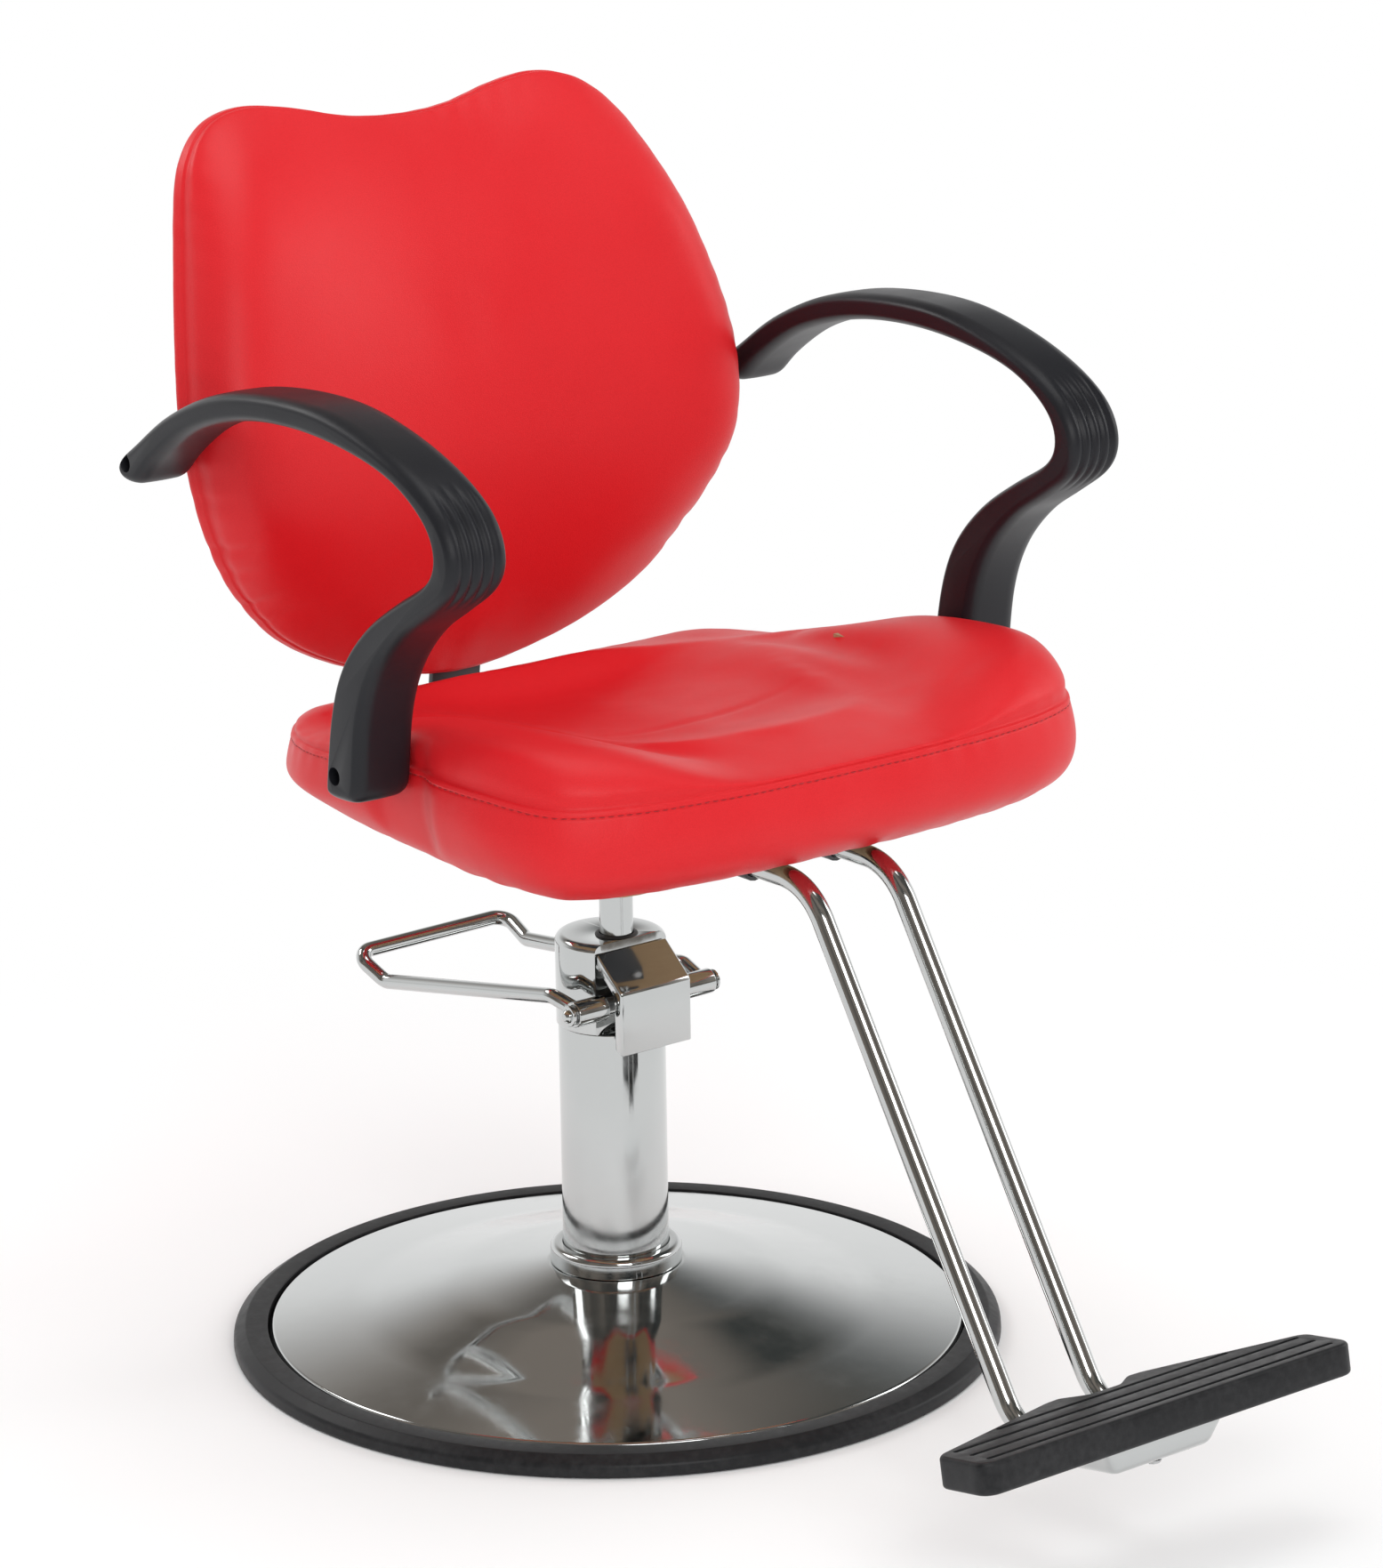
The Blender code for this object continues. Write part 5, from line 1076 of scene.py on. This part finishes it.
def smooth_loop(half):
    """Closed plan through half an outline and its mirror image, evenly spaced."""
    knots = np.array(half + [(-a, b) for a, b in reversed(half[1:-1])])
    points = []
    count = len(knots)
    for i in range(count):
        p = [knots[(i + k) % count] for k in (-1, 0, 1, 2)]
        t = [0.0]
        for k in range(3):
            t.append(t[-1] + np.linalg.norm(p[k + 1] - p[k]) ** 0.5)
        for share in np.arange(16) / 16:
            at = t[1] + (t[2] - t[1]) * share
            a = [((t[k + 1] - at) * p[k] + (at - t[k]) * p[k + 1]) / (t[k + 1] - t[k])
                 for k in range(3)]
            b = [((t[k + 2] - at) * a[k] + (at - t[k]) * a[k + 1]) / (t[k + 2] - t[k])
                 for k in range(2)]
            points.append(((t[2] - at) * b[0] + (at - t[1]) * b[1]) / (t[2] - t[1]))
    return softened(evenly_spaced(points, 8 * RINGS), 4)


def square_place(k, q):
    """Grid place (i, j) of the point q round the square ring k."""
    if q <= k:
        return q, -k
    if q <= 3 * k:
        return k, q - 2 * k
    if q <= 5 * k:
        return 4 * k - q, k
    if q <= 7 * k:
        return -k, 6 * k - q
    return q - 8 * k, -k


class Cushion:
    """A closed upholstered form: a face panel of square rings and rows behind its seam."""

    def __init__(self, plan, centre, face, profile, place):
        loop = smooth_loop(plan)
        self.loop, self.centre, self.place = loop, np.array(centre), place
        normal = -inward(loop)
        reach = np.sum((loop - self.centre) * normal, axis=1)
        count = len(loop)
        plans, insides, ids = [self.centre], [float(np.mean(reach))], {(0, 0): 0}
        for k in range(1, RINGS + 1):
            share = k / RINGS * (1 + EDGE_CROWD * (1 - k / RINGS))
            for q in range(8 * k):
                at = q * count / (8 * k)
                low, part = int(at) % count, at - int(at)
                high = (low + 1) % count
                edge = loop[low] * (1 - part) + loop[high] * part
                inside = reach[low] * (1 - part) + reach[high] * part
                ids[square_place(k, q)] = len(plans)
                plans.append(self.centre + (edge - self.centre) * share)
                insides.append(inside * (1 - share))
        plans, insides = np.array(plans), np.array(insides)
        points = [place(plans[:, 0], plans[:, 1], face(plans[:, 0], plans[:, 1], insides))]
        seams = [-insides]
        faces = [(ids[i, j], ids[i + 1, j], ids[i + 1, j + 1], ids[i, j + 1])
                 for i in range(-RINGS, RINGS) for j in range(-RINGS, RINGS)]
        row = [ids[square_place(RINGS, q)] for q in range(count)]
        start = len(plans)
        self.rows = {0.0: np.array(row)}
        for s, out, height in profile:
            ring = loop + normal * out
            points.append(place(ring[:, 0], ring[:, 1], np.full(count, height)))
            seams.append(np.full(count, s))
            new = list(range(start, start + count))
            faces += [(row[k], row[(k + 1) % count], new[(k + 1) % count], new[k])
                      for k in range(count)]
            row, start = new, start + count
            self.rows[s] = np.array(new)
        self.points = np.concatenate(points)
        self.seams = np.concatenate(seams)
        self.faces = faces
        spread_angle = np.arctan2(*(loop - self.centre).T[::-1])
        turn = np.unwrap(spread_angle)
        steps = np.linalg.norm(np.roll(loop, -1, 0) - loop, axis=1)
        self.turn = np.append(turn, turn[0] + math.copysign(math.tau, turn[-1] - turn[0]))
        self.along = np.concatenate([[0], np.cumsum(steps)])

    def arc_of(self, a, b):
        """Distance round the seam at the direction of plan points from the centre."""
        angle = np.arctan2(b - self.centre[1], a - self.centre[0])
        first = min(self.turn[0], self.turn[-1])
        angle = first + np.mod(angle - first, math.tau)
        if self.turn[-1] > self.turn[0]:
            return np.interp(angle, self.turn, self.along)
        return np.interp(angle, self.turn[::-1], self.along[::-1])

    def mesh(self, name):
        mesh = bpy.data.meshes.new(name)
        mesh.from_pydata(self.points.tolist(), [], self.faces)
        mesh.update()
        layer = mesh.attributes.new("seam", "FLOAT", "POINT")
        layer.data.foreach_set("value", self.seams.astype(np.float32))
        bm = bmesh.new()
        bm.from_mesh(mesh)
        bmesh.ops.recalc_face_normals(bm, faces=bm.faces)
        bm.to_mesh(mesh)
        bm.free()
        return mesh


def profile_rows(knots, spacings):
    """Rows (distance from the seam, out, height) along a smooth profile from the seam."""
    curve = np.array([tuple(p) for p in spline_through(knots, 24)])
    along = np.concatenate([[0], np.cumsum(np.linalg.norm(np.diff(curve, axis=0), axis=1))])
    wanted = [s for s in spacings if s < along[-1] - 0.0005] + [along[-1]]
    return [(float(s), float(np.interp(s, along, curve[:, 0])),
             float(np.interp(s, along, curve[:, 1]))) for s in wanted]


def soft_round(t):
    """0 to 1, upright at 0 like a quarter of a circle and easing to level at 1."""
    t = np.clip(t, 0.0, 1.0)
    return np.sqrt(1 - (1 - t) ** 3)


SETTLE_STEPS = 20
SETTLE_PRESSURE = 4.0
SETTLE_MOST = 0.0080      # the furthest that a point may move
SEAM_HELD = 0.0030        # width of the band held along the seam
CLOTH = {"quality": 6, "mass": 0.35, "tension_stiffness": 40, "compression_stiffness": 40,
         "shear_stiffness": 20, "bending_stiffness": 8, "use_pressure": True,
         "uniform_pressure_force": SETTLE_PRESSURE}


def settled(cushion, mesh, held_from):
    """Let the cover swell over its foam under light pressure, its seam and back held."""
    obj = plain_object("work", mesh)
    held = obj.vertex_groups.new(name="held")
    weights = smooth_step(0.0, held_from, np.maximum(cushion.seams, 0.0))
    weights = np.maximum(weights, bell(cushion.seams, SEAM_HELD))
    for i, weight in enumerate(weights):
        if weight > 0.01:
            held.add([i], float(weight), "REPLACE")
    cloth = obj.modifiers.new("Settle", "CLOTH")
    cloth.settings.vertex_group_mass = "held"
    for key, value in CLOTH.items():
        setattr(cloth.settings, key, value)
    cloth.settings.effector_weights.gravity = 0.0
    cloth.point_cache.frame_start = 1
    cloth.point_cache.frame_end = SETTLE_STEPS
    scene = bpy.context.scene
    for step in range(SETTLE_STEPS):
        scene.frame_set(step + 1)
    depsgraph = bpy.context.evaluated_depsgraph_get()
    moved = np.empty(len(mesh.vertices) * 3)
    obj.evaluated_get(depsgraph).to_mesh().vertices.foreach_get("co", moved)
    change = moved.reshape(-1, 3) - cushion.points
    far = np.linalg.norm(change, axis=1)
    change *= (np.minimum(far, SETTLE_MOST) / np.maximum(far, 1e-9))[:, None]
    cushion.points = cushion.points + change
    scene.frame_set(1)
    bpy.data.objects.remove(obj, do_unlink=True)
    return cushion.mesh(mesh.name)


def subdivided(mesh):
    obj = plain_object("work", mesh)
    soft = obj.modifiers.new("Soft", "SUBSURF")
    soft.levels = 1
    soft.render_levels = 1
    bpy.context.view_layer.update()
    depsgraph = bpy.context.evaluated_depsgraph_get()
    made = bpy.data.meshes.new_from_object(obj.evaluated_get(depsgraph),
                                           preserve_all_data_layers=True, depsgraph=depsgraph)
    made.name = mesh.name
    bpy.data.objects.remove(obj, do_unlink=True)
    bm = bmesh.new()
    bm.from_mesh(made)
    bmesh.ops.holes_fill(bm, edges=[e for e in bm.edges if e.is_boundary], sides=0)
    bmesh.ops.recalc_face_normals(bm, faces=bm.faces)
    bm.to_mesh(made)
    bm.free()
    return made


def displaced(mesh, amounts):
    """Move each point along its normal; amounts takes the points and seam distances."""
    count = len(mesh.vertices)
    places, normals, seams = np.empty(count * 3), np.empty(count * 3), np.empty(count)
    mesh.vertices.foreach_get("co", places)
    mesh.vertices.foreach_get("normal", normals)
    mesh.attributes["seam"].data.foreach_get("value", seams)
    places, normals = places.reshape(-1, 3), normals.reshape(-1, 3)
    places = places + normals * amounts(places, seams)[:, None]
    mesh.vertices.foreach_set("co", places.ravel())
    mesh.update()
    return mesh


def bell(value, width):
    return np.exp(-(value / width) ** 2)


def ripples(arc, length, seed, count):
    """Smooth irregular ups and downs round a closed seam of the given length."""
    rng = np.random.default_rng(seed)
    total = np.zeros_like(arc)
    for k in rng.integers(count // 2, count, 7):
        total += rng.uniform(0.4, 1.0) * np.sin(math.tau * k * arc / length
                                                + rng.uniform(0, math.tau))
    return total / 3.0


STITCH_PITCH = 0.0065
STITCH_LEN = 0.0046
STITCH_R = 0.00042
STITCH_SIDES = 7
STITCH_RINGS = 7


def stitches(name, path, surface):
    """Short threads along a closed path, each dipping into the surface at its ends."""
    closed = np.vstack([path, path[:1]])
    along = np.concatenate([[0], np.cumsum(np.linalg.norm(np.diff(closed, axis=0), axis=1))])
    count = int(along[-1] / STITCH_PITCH)
    pitch = along[-1] / count
    tree = BVHTree.FromPolygons([v.co for v in surface.vertices],
                                [tuple(p.vertices) for p in surface.polygons])
    shares = [k / (STITCH_RINGS - 1) for k in range(STITCH_RINGS)]
    bm = bmesh.new()
    for i in range(count):
        stations = []
        for share in shares:
            at = (i * pitch + (share - 0.5) * STITCH_LEN) % along[-1]
            guess = [np.interp(at, along, closed[:, axis]) for axis in range(3)]
            place, normal, _, _ = tree.find_nearest(Vector(guess))
            lift = STITCH_R * (1.25 * math.sin(math.pi * share) - 0.55)
            stations.append((place + normal * lift, normal))
        ahead = (stations[-1][0] - stations[0][0]).normalized()
        rows = []
        for share, (place, normal) in zip(shares, stations):
            thick = 0.35 + 0.65 * math.sin(math.pi * min(max(share, 0.06), 0.94)) ** 0.5
            rows.append(circle(place, normal, ahead.cross(normal).normalized(), STITCH_R * thick,
                               STITCH_SIDES))
        add_loft(bm, rows)
    return to_mesh(bm, name)


def eased_under(x, near, limit):
    """Distances from the middle plane, eased beyond near to stay under the limit."""
    over = np.maximum(np.abs(x) - near, 0.0)
    soft = near + (limit - near) * np.tanh(over / (limit - near))
    return np.where(np.abs(x) > near, np.sign(x) * soft, x)


def upholstered(name, cushion, mesh, amounts, node_name):
    """Subdivide a cover, work its seams and folds in, and add it as a padded piece."""
    length = cushion.along[-1]
    mesh = displaced(subdivided(mesh), lambda places, seams: amounts(places, seams, length))
    obj = add_piece(name, mesh, "red_vinyl", "seat", [node_name], math.radians(70))
    return mesh


# ======== seat cushion
SEAT_CENTRE = (0.0, -0.0800)
SEAT_RIDGE = 0.0250
SEAT_DISH = 0.0200
SEAT_SWELL = 0.0040
SEAT_PUFF = 0.0035
SEAT_ROLL_SIDE = 0.0340   # how far in the face turns over at the sides, and at the ends
SEAT_ROLL_END = 0.0560
SEAT_BOXING = [(0.0, 0.0), (0.0012, -0.0040), (0.0028, -0.0100), (0.0050, -0.0200),
               (0.0062, -0.0300), (0.0056, -0.0400), (0.0026, -0.0495), (-0.0036, -0.0580),
               (-0.0125, -0.0650), (-0.0220, -0.0700), (-0.0295, -0.0722), (-0.0322, -0.0690),
               (-0.0322, -0.0570)]
SIDE_TUCK = 0.0080        # how much further in the cover's bottom edge lies along the sides
SIDE_RAISE = 0.0050       # the seam's rise along the sides, and its fall to the rear
REAR_DROP = 0.0170
SEAT_ROWS = SEAM_ROWS + [0.0140, 0.0175, 0.0215, 0.0260, 0.0310, 0.0360, 0.0410, 0.0460, 0.0510,
                         0.0560, 0.0610, 0.0670, 0.0740, 0.0810, 0.0880, 0.0920, 0.0960]
SEAT_STITCH_ROW = 0.0060
ARM_FOOT_Y = (-0.1180, -0.0700)
ARM_FOOT_FADE = 0.0300
SEAT_WIDEST = 0.2610      # limit of the cover from the middle, and how much less beside the arm
SEAT_ARM_ROOM = 0.0116
SEAT_EASE = 0.0080
SEAT_HELD = 0.0600        # from here down the boxing is held while the cover settles
CREASE_Y = -0.1040
CREASE_DEEP = 0.0013


def seat_face(x, y, inside):
    """Height of the seat's face over its seam: dished middle, side ridges, front roll."""
    v = (y - SEAT_FRONT_Y) / (SEAT_REAR_Y - SEAT_FRONT_Y) * 2 - 1
    half = SEAT_HALF * (1 - 0.115 * smooth_step(-0.55, -1.0, v) ** 1.5)
    half = half * (1 - 0.155 * smooth_step(0.0, 1.0, v))
    u = np.abs(x) / half
    v = v - 0.10 * u * u * smooth_step(-0.4, -1.0, v)
    level = SEAT_RIDGE * smooth_step(0.35, 0.82, u) * smooth_step(0.80, -0.25, v)
    level = level - SEAT_DISH * smooth_step(0.85, 0.10, u) * smooth_step(-0.80, -0.20, v)
    level = level + SEAT_SWELL * smooth_step(-0.10, -0.55, v) * smooth_step(-1.05, -0.70, v)
    level = level + SEAT_SWELL * smooth_step(0.50, 0.95, v)
    sideways = smooth_step(0.60, 0.90, u) * smooth_step(-0.98, -0.60, v)
    roll = SEAT_ROLL_END + (SEAT_ROLL_SIDE - SEAT_ROLL_END) * sideways
    raised = (np.maximum(level, 0.0) + SEAT_PUFF) * soft_round(inside / roll)
    return raised + np.minimum(level, 0.0) * smooth_step(0.0, 0.075, inside)


def seat_crease(x, y):
    """Soft fold across the dish, where sitters have worn it."""
    line = CREASE_Y + 0.010 * np.sin(9.0 * x + 0.4)
    return -CREASE_DEEP * bell(y - line, 0.0050) * bell(x - 0.005, 0.075)


def seat_place(x, y, height):
    beside_arm = smooth_step(ARM_FOOT_Y[0] - ARM_FOOT_FADE, ARM_FOOT_Y[0], y)
    beside_arm = beside_arm * smooth_step(ARM_FOOT_Y[1] + ARM_FOOT_FADE, ARM_FOOT_Y[1], y)
    limit = SEAT_WIDEST - SEAT_ARM_ROOM * beside_arm
    x = eased_under(x, limit - SEAT_EASE, limit)
    low = smooth_step(-0.022, -0.064, height)
    side = smooth_step(0.160, 0.232, np.abs(x)) * smooth_step(-0.262, -0.185, y)
    x = x - np.sign(x) * SIDE_TUCK * low * side
    seam = SIDE_RAISE * side * smooth_step(0.0, -0.100, y) - REAR_DROP * smooth_step(-0.130, 0.110, y)
    return np.stack([x, y, SEAM_Z + height + seam * (1 - low)], axis=-1)


def make_seat():
    rows = profile_rows(SEAT_BOXING, SEAT_ROWS)
    cushion = Cushion(SEAT_PLAN, SEAT_CENTRE, seat_face, rows, seat_place)
    mesh = settled(cushion, cushion.mesh("seat_cover"), SEAT_HELD)
    row = min(cushion.rows, key=lambda s: abs(s - SEAT_STITCH_ROW))
    path = cushion.points[cushion.rows[row]]

    def amounts(places, seams, length):
        arc = cushion.arc_of(places[:, 0], places[:, 1])
        move = -0.0016 * bell(seams, SEAM_W)
        move += 0.0005 * smooth_step(0.0008, 0.0022, seams) * smooth_step(0.0058, 0.0046, seams)
        move += -0.0006 * bell(seams - SEAT_STITCH_ROW, 0.0008)
        near = bell(seams - 0.006, 0.012) * (np.abs(seams) > 0.0)
        move += 0.00022 * ripples(arc, length, 5, 90) * near
        move += 0.0007 * ripples(arc, length, 11, 26) * bell(seams - 0.022, 0.020)
        under = smooth_step(0.050, 0.078, seams) * smooth_step(0.096, 0.088, seams)
        move += 0.0005 * ripples(arc, length, 23, 70) * under
        return move + smooth_step(0.0, -0.030, seams) * seat_crease(places[:, 0], places[:, 1])

    mesh = upholstered("seat_cover", cushion, mesh, amounts, "seat_cushion")
    add_piece("seat_stitches", stitches("seat_stitches", path, mesh), THREAD, "seat")


# ======== back cushion
BACK_CENTRE = (0.0, 0.7000)
BOLSTER = 0.0430
DISH = 0.0160
BACK_ROLL = 0.0620
BACK_SIDE = [(0.084, 0.775), (0.104, 0.849), (0.134, 0.927), (0.164, 0.971), (0.194, 0.996),
             (0.224, 1.000), (0.254, 0.986), (0.284, 0.961), (0.314, 0.931), (0.344, 0.894),
             (0.374, 0.851), (0.399, 0.796)]
BACK_EDGE = [(0.0, 0.0), (0.0012, -0.0030), (0.0026, -0.0068), (0.0028, -0.0102),
             (0.0006, -0.0126), (-0.0050, -0.0133), (-0.0200, -0.0133), (-0.0300, -0.0133),
             (-0.0316, -0.0120), (-0.0316, -0.0040), (-0.0316, 0.0000)]
BACK_ROWS = SEAM_ROWS + [0.0130, 0.0155, 0.0190, 0.0240, 0.0300, 0.0360, 0.0420, 0.0500]
PUCKERS = [(0.205, 0.6), (0.226, 1.0), (0.259, 0.5), (0.281, 0.9), (0.322, 0.4)]   # arc, depth
PUCKER_W = 0.0050
PUCKER_DEEP = 0.0017
BACK_WIDEST = 0.2493
BACK_EASE = 0.0053
BACK_HELD = 0.0140


def back_face(x, z, inside):
    """How far the back's face stands before its edge: side bolsters round a dish."""
    heights = BACK_LOW_Z + np.array([h for h, _ in BACK_SIDE])
    widths = (SEAT_HALF + 0.0030) * np.array([w for _, w in BACK_SIDE])
    u = np.abs(x) / np.interp(z, heights, widths)
    low = BACK_LOW_Z + 0.004 + 0.082 * np.minimum(u, 1.0) ** 2.2
    top = 0.900 - 0.016 * smooth_step(0.72, 1.0, u)
    v = np.clip((z - low) / (top - low) * 2 - 1, -1.1, 1.1)
    wall = smooth_step(0.05, 0.98, u)
    level = DISH + (BOLSTER - DISH) * wall
    level = level * (smooth_step(1.15, 0.40, np.abs(v)) * 0.70 + 0.30)
    return level * soft_round(inside / BACK_ROLL)


def back_place(x, z, height):
    return back_at(eased_under(x, BACK_WIDEST - BACK_EASE, BACK_WIDEST), z, -height)


def puckers(arc, length):
    """Small gathers round the lower corners of the back, on both sides."""
    total = np.zeros_like(arc)
    for place, deep in PUCKERS:
        for spot in (place, length - place + 0.004):
            total += deep * bell(arc - spot, PUCKER_W)
    return total


def make_back():
    rows = profile_rows(BACK_EDGE, BACK_ROWS)
    cushion = Cushion(BACK_PLAN, BACK_CENTRE, back_face, rows, back_place)
    mesh = settled(cushion, cushion.mesh("back_cover_front"), BACK_HELD)

    def amounts(places, seams, length):
        arc = cushion.arc_of(places[:, 0], places[:, 2])
        move = -0.0013 * bell(seams, SEAM_W)
        move += 0.00022 * ripples(arc, length, 7, 80) * bell(seams + 0.002, 0.014)
        move += -PUCKER_DEEP * puckers(arc, length) * bell(seams + 0.001, 0.0125)
        return move + 0.0009 * ripples(arc, length, 31, 20) * bell(seams + 0.034, 0.022)

    upholstered("back_upholstery", cushion, mesh, amounts, "back_cushion")
    make_rear_cover()


# ======== rear cover
REAR_INSET = 0.0060
REAR_FRONT = 0.0148       # depth of the side that lies against the back
REAR_PUFF = 0.0023
REAR_PUFF_W = 0.0080
REAR_CROWN = 0.0030
REAR_CROWN_W = 0.1300
REAR_SEAM = 0.0062        # how far behind its front the panel's seam lies
REAR_EDGE = [(0.0, 0.0), (0.0006, -0.0020), (0.0004, -0.0042), (-0.0012, -0.0058), (-0.0060, -0.0062)]
WELT_R = 0.0019


def rear_face(_x, _z, inside):
    return REAR_PUFF * soft_round(inside / REAR_PUFF_W) + REAR_CROWN * smooth_step(0.0, REAR_CROWN_W, inside)


def make_rear_cover():
    """Padded panel screwed over the back's board, with a welt round it."""
    outline = smooth_loop(BACK_PLAN)
    drawn_in = outline + inward(outline) * REAR_INSET
    half = [tuple(p) for p in drawn_in[:len(drawn_in) // 2 + 1:8]]

    def place(x, z, height):
        return back_at(x, z, REAR_FRONT + REAR_SEAM + height)

    rows = profile_rows(REAR_EDGE, SEAM_ROWS)
    cushion = Cushion(half, BACK_CENTRE, rear_face, rows, place)
    path = cushion.points[cushion.rows[0.0]]

    def amounts(places, seams, length):
        arc = cushion.arc_of(places[:, 0], places[:, 2])
        move = -0.0006 * bell(seams, 0.0010) - 0.0004 * bell(seams + 0.0070, 0.0010)
        return move + 0.0005 * ripples(arc, length, 17, 30) * bell(seams + 0.030, 0.025)

    mesh = cushion.mesh("rear_upholstery")
    upholstered("rear_upholstery", cushion, mesh, amounts, "back_cover")
    ring = [Vector(p) for p in path]
    welt = swept_mesh("rear_welt", ring + [ring[0]], WELT_R, 12)
    add_piece("rear_welt", welt, "red_vinyl", "seat")


# ======== the chair
make_studio()
finish_cad_nodes()
make_base_and_pump()
make_hood()
make_lever()
for side, label in ((-1, "right"), (1, "left")):
    make_arm(side, label)
make_footrest()
make_back_bar()
make_seat()
make_back()
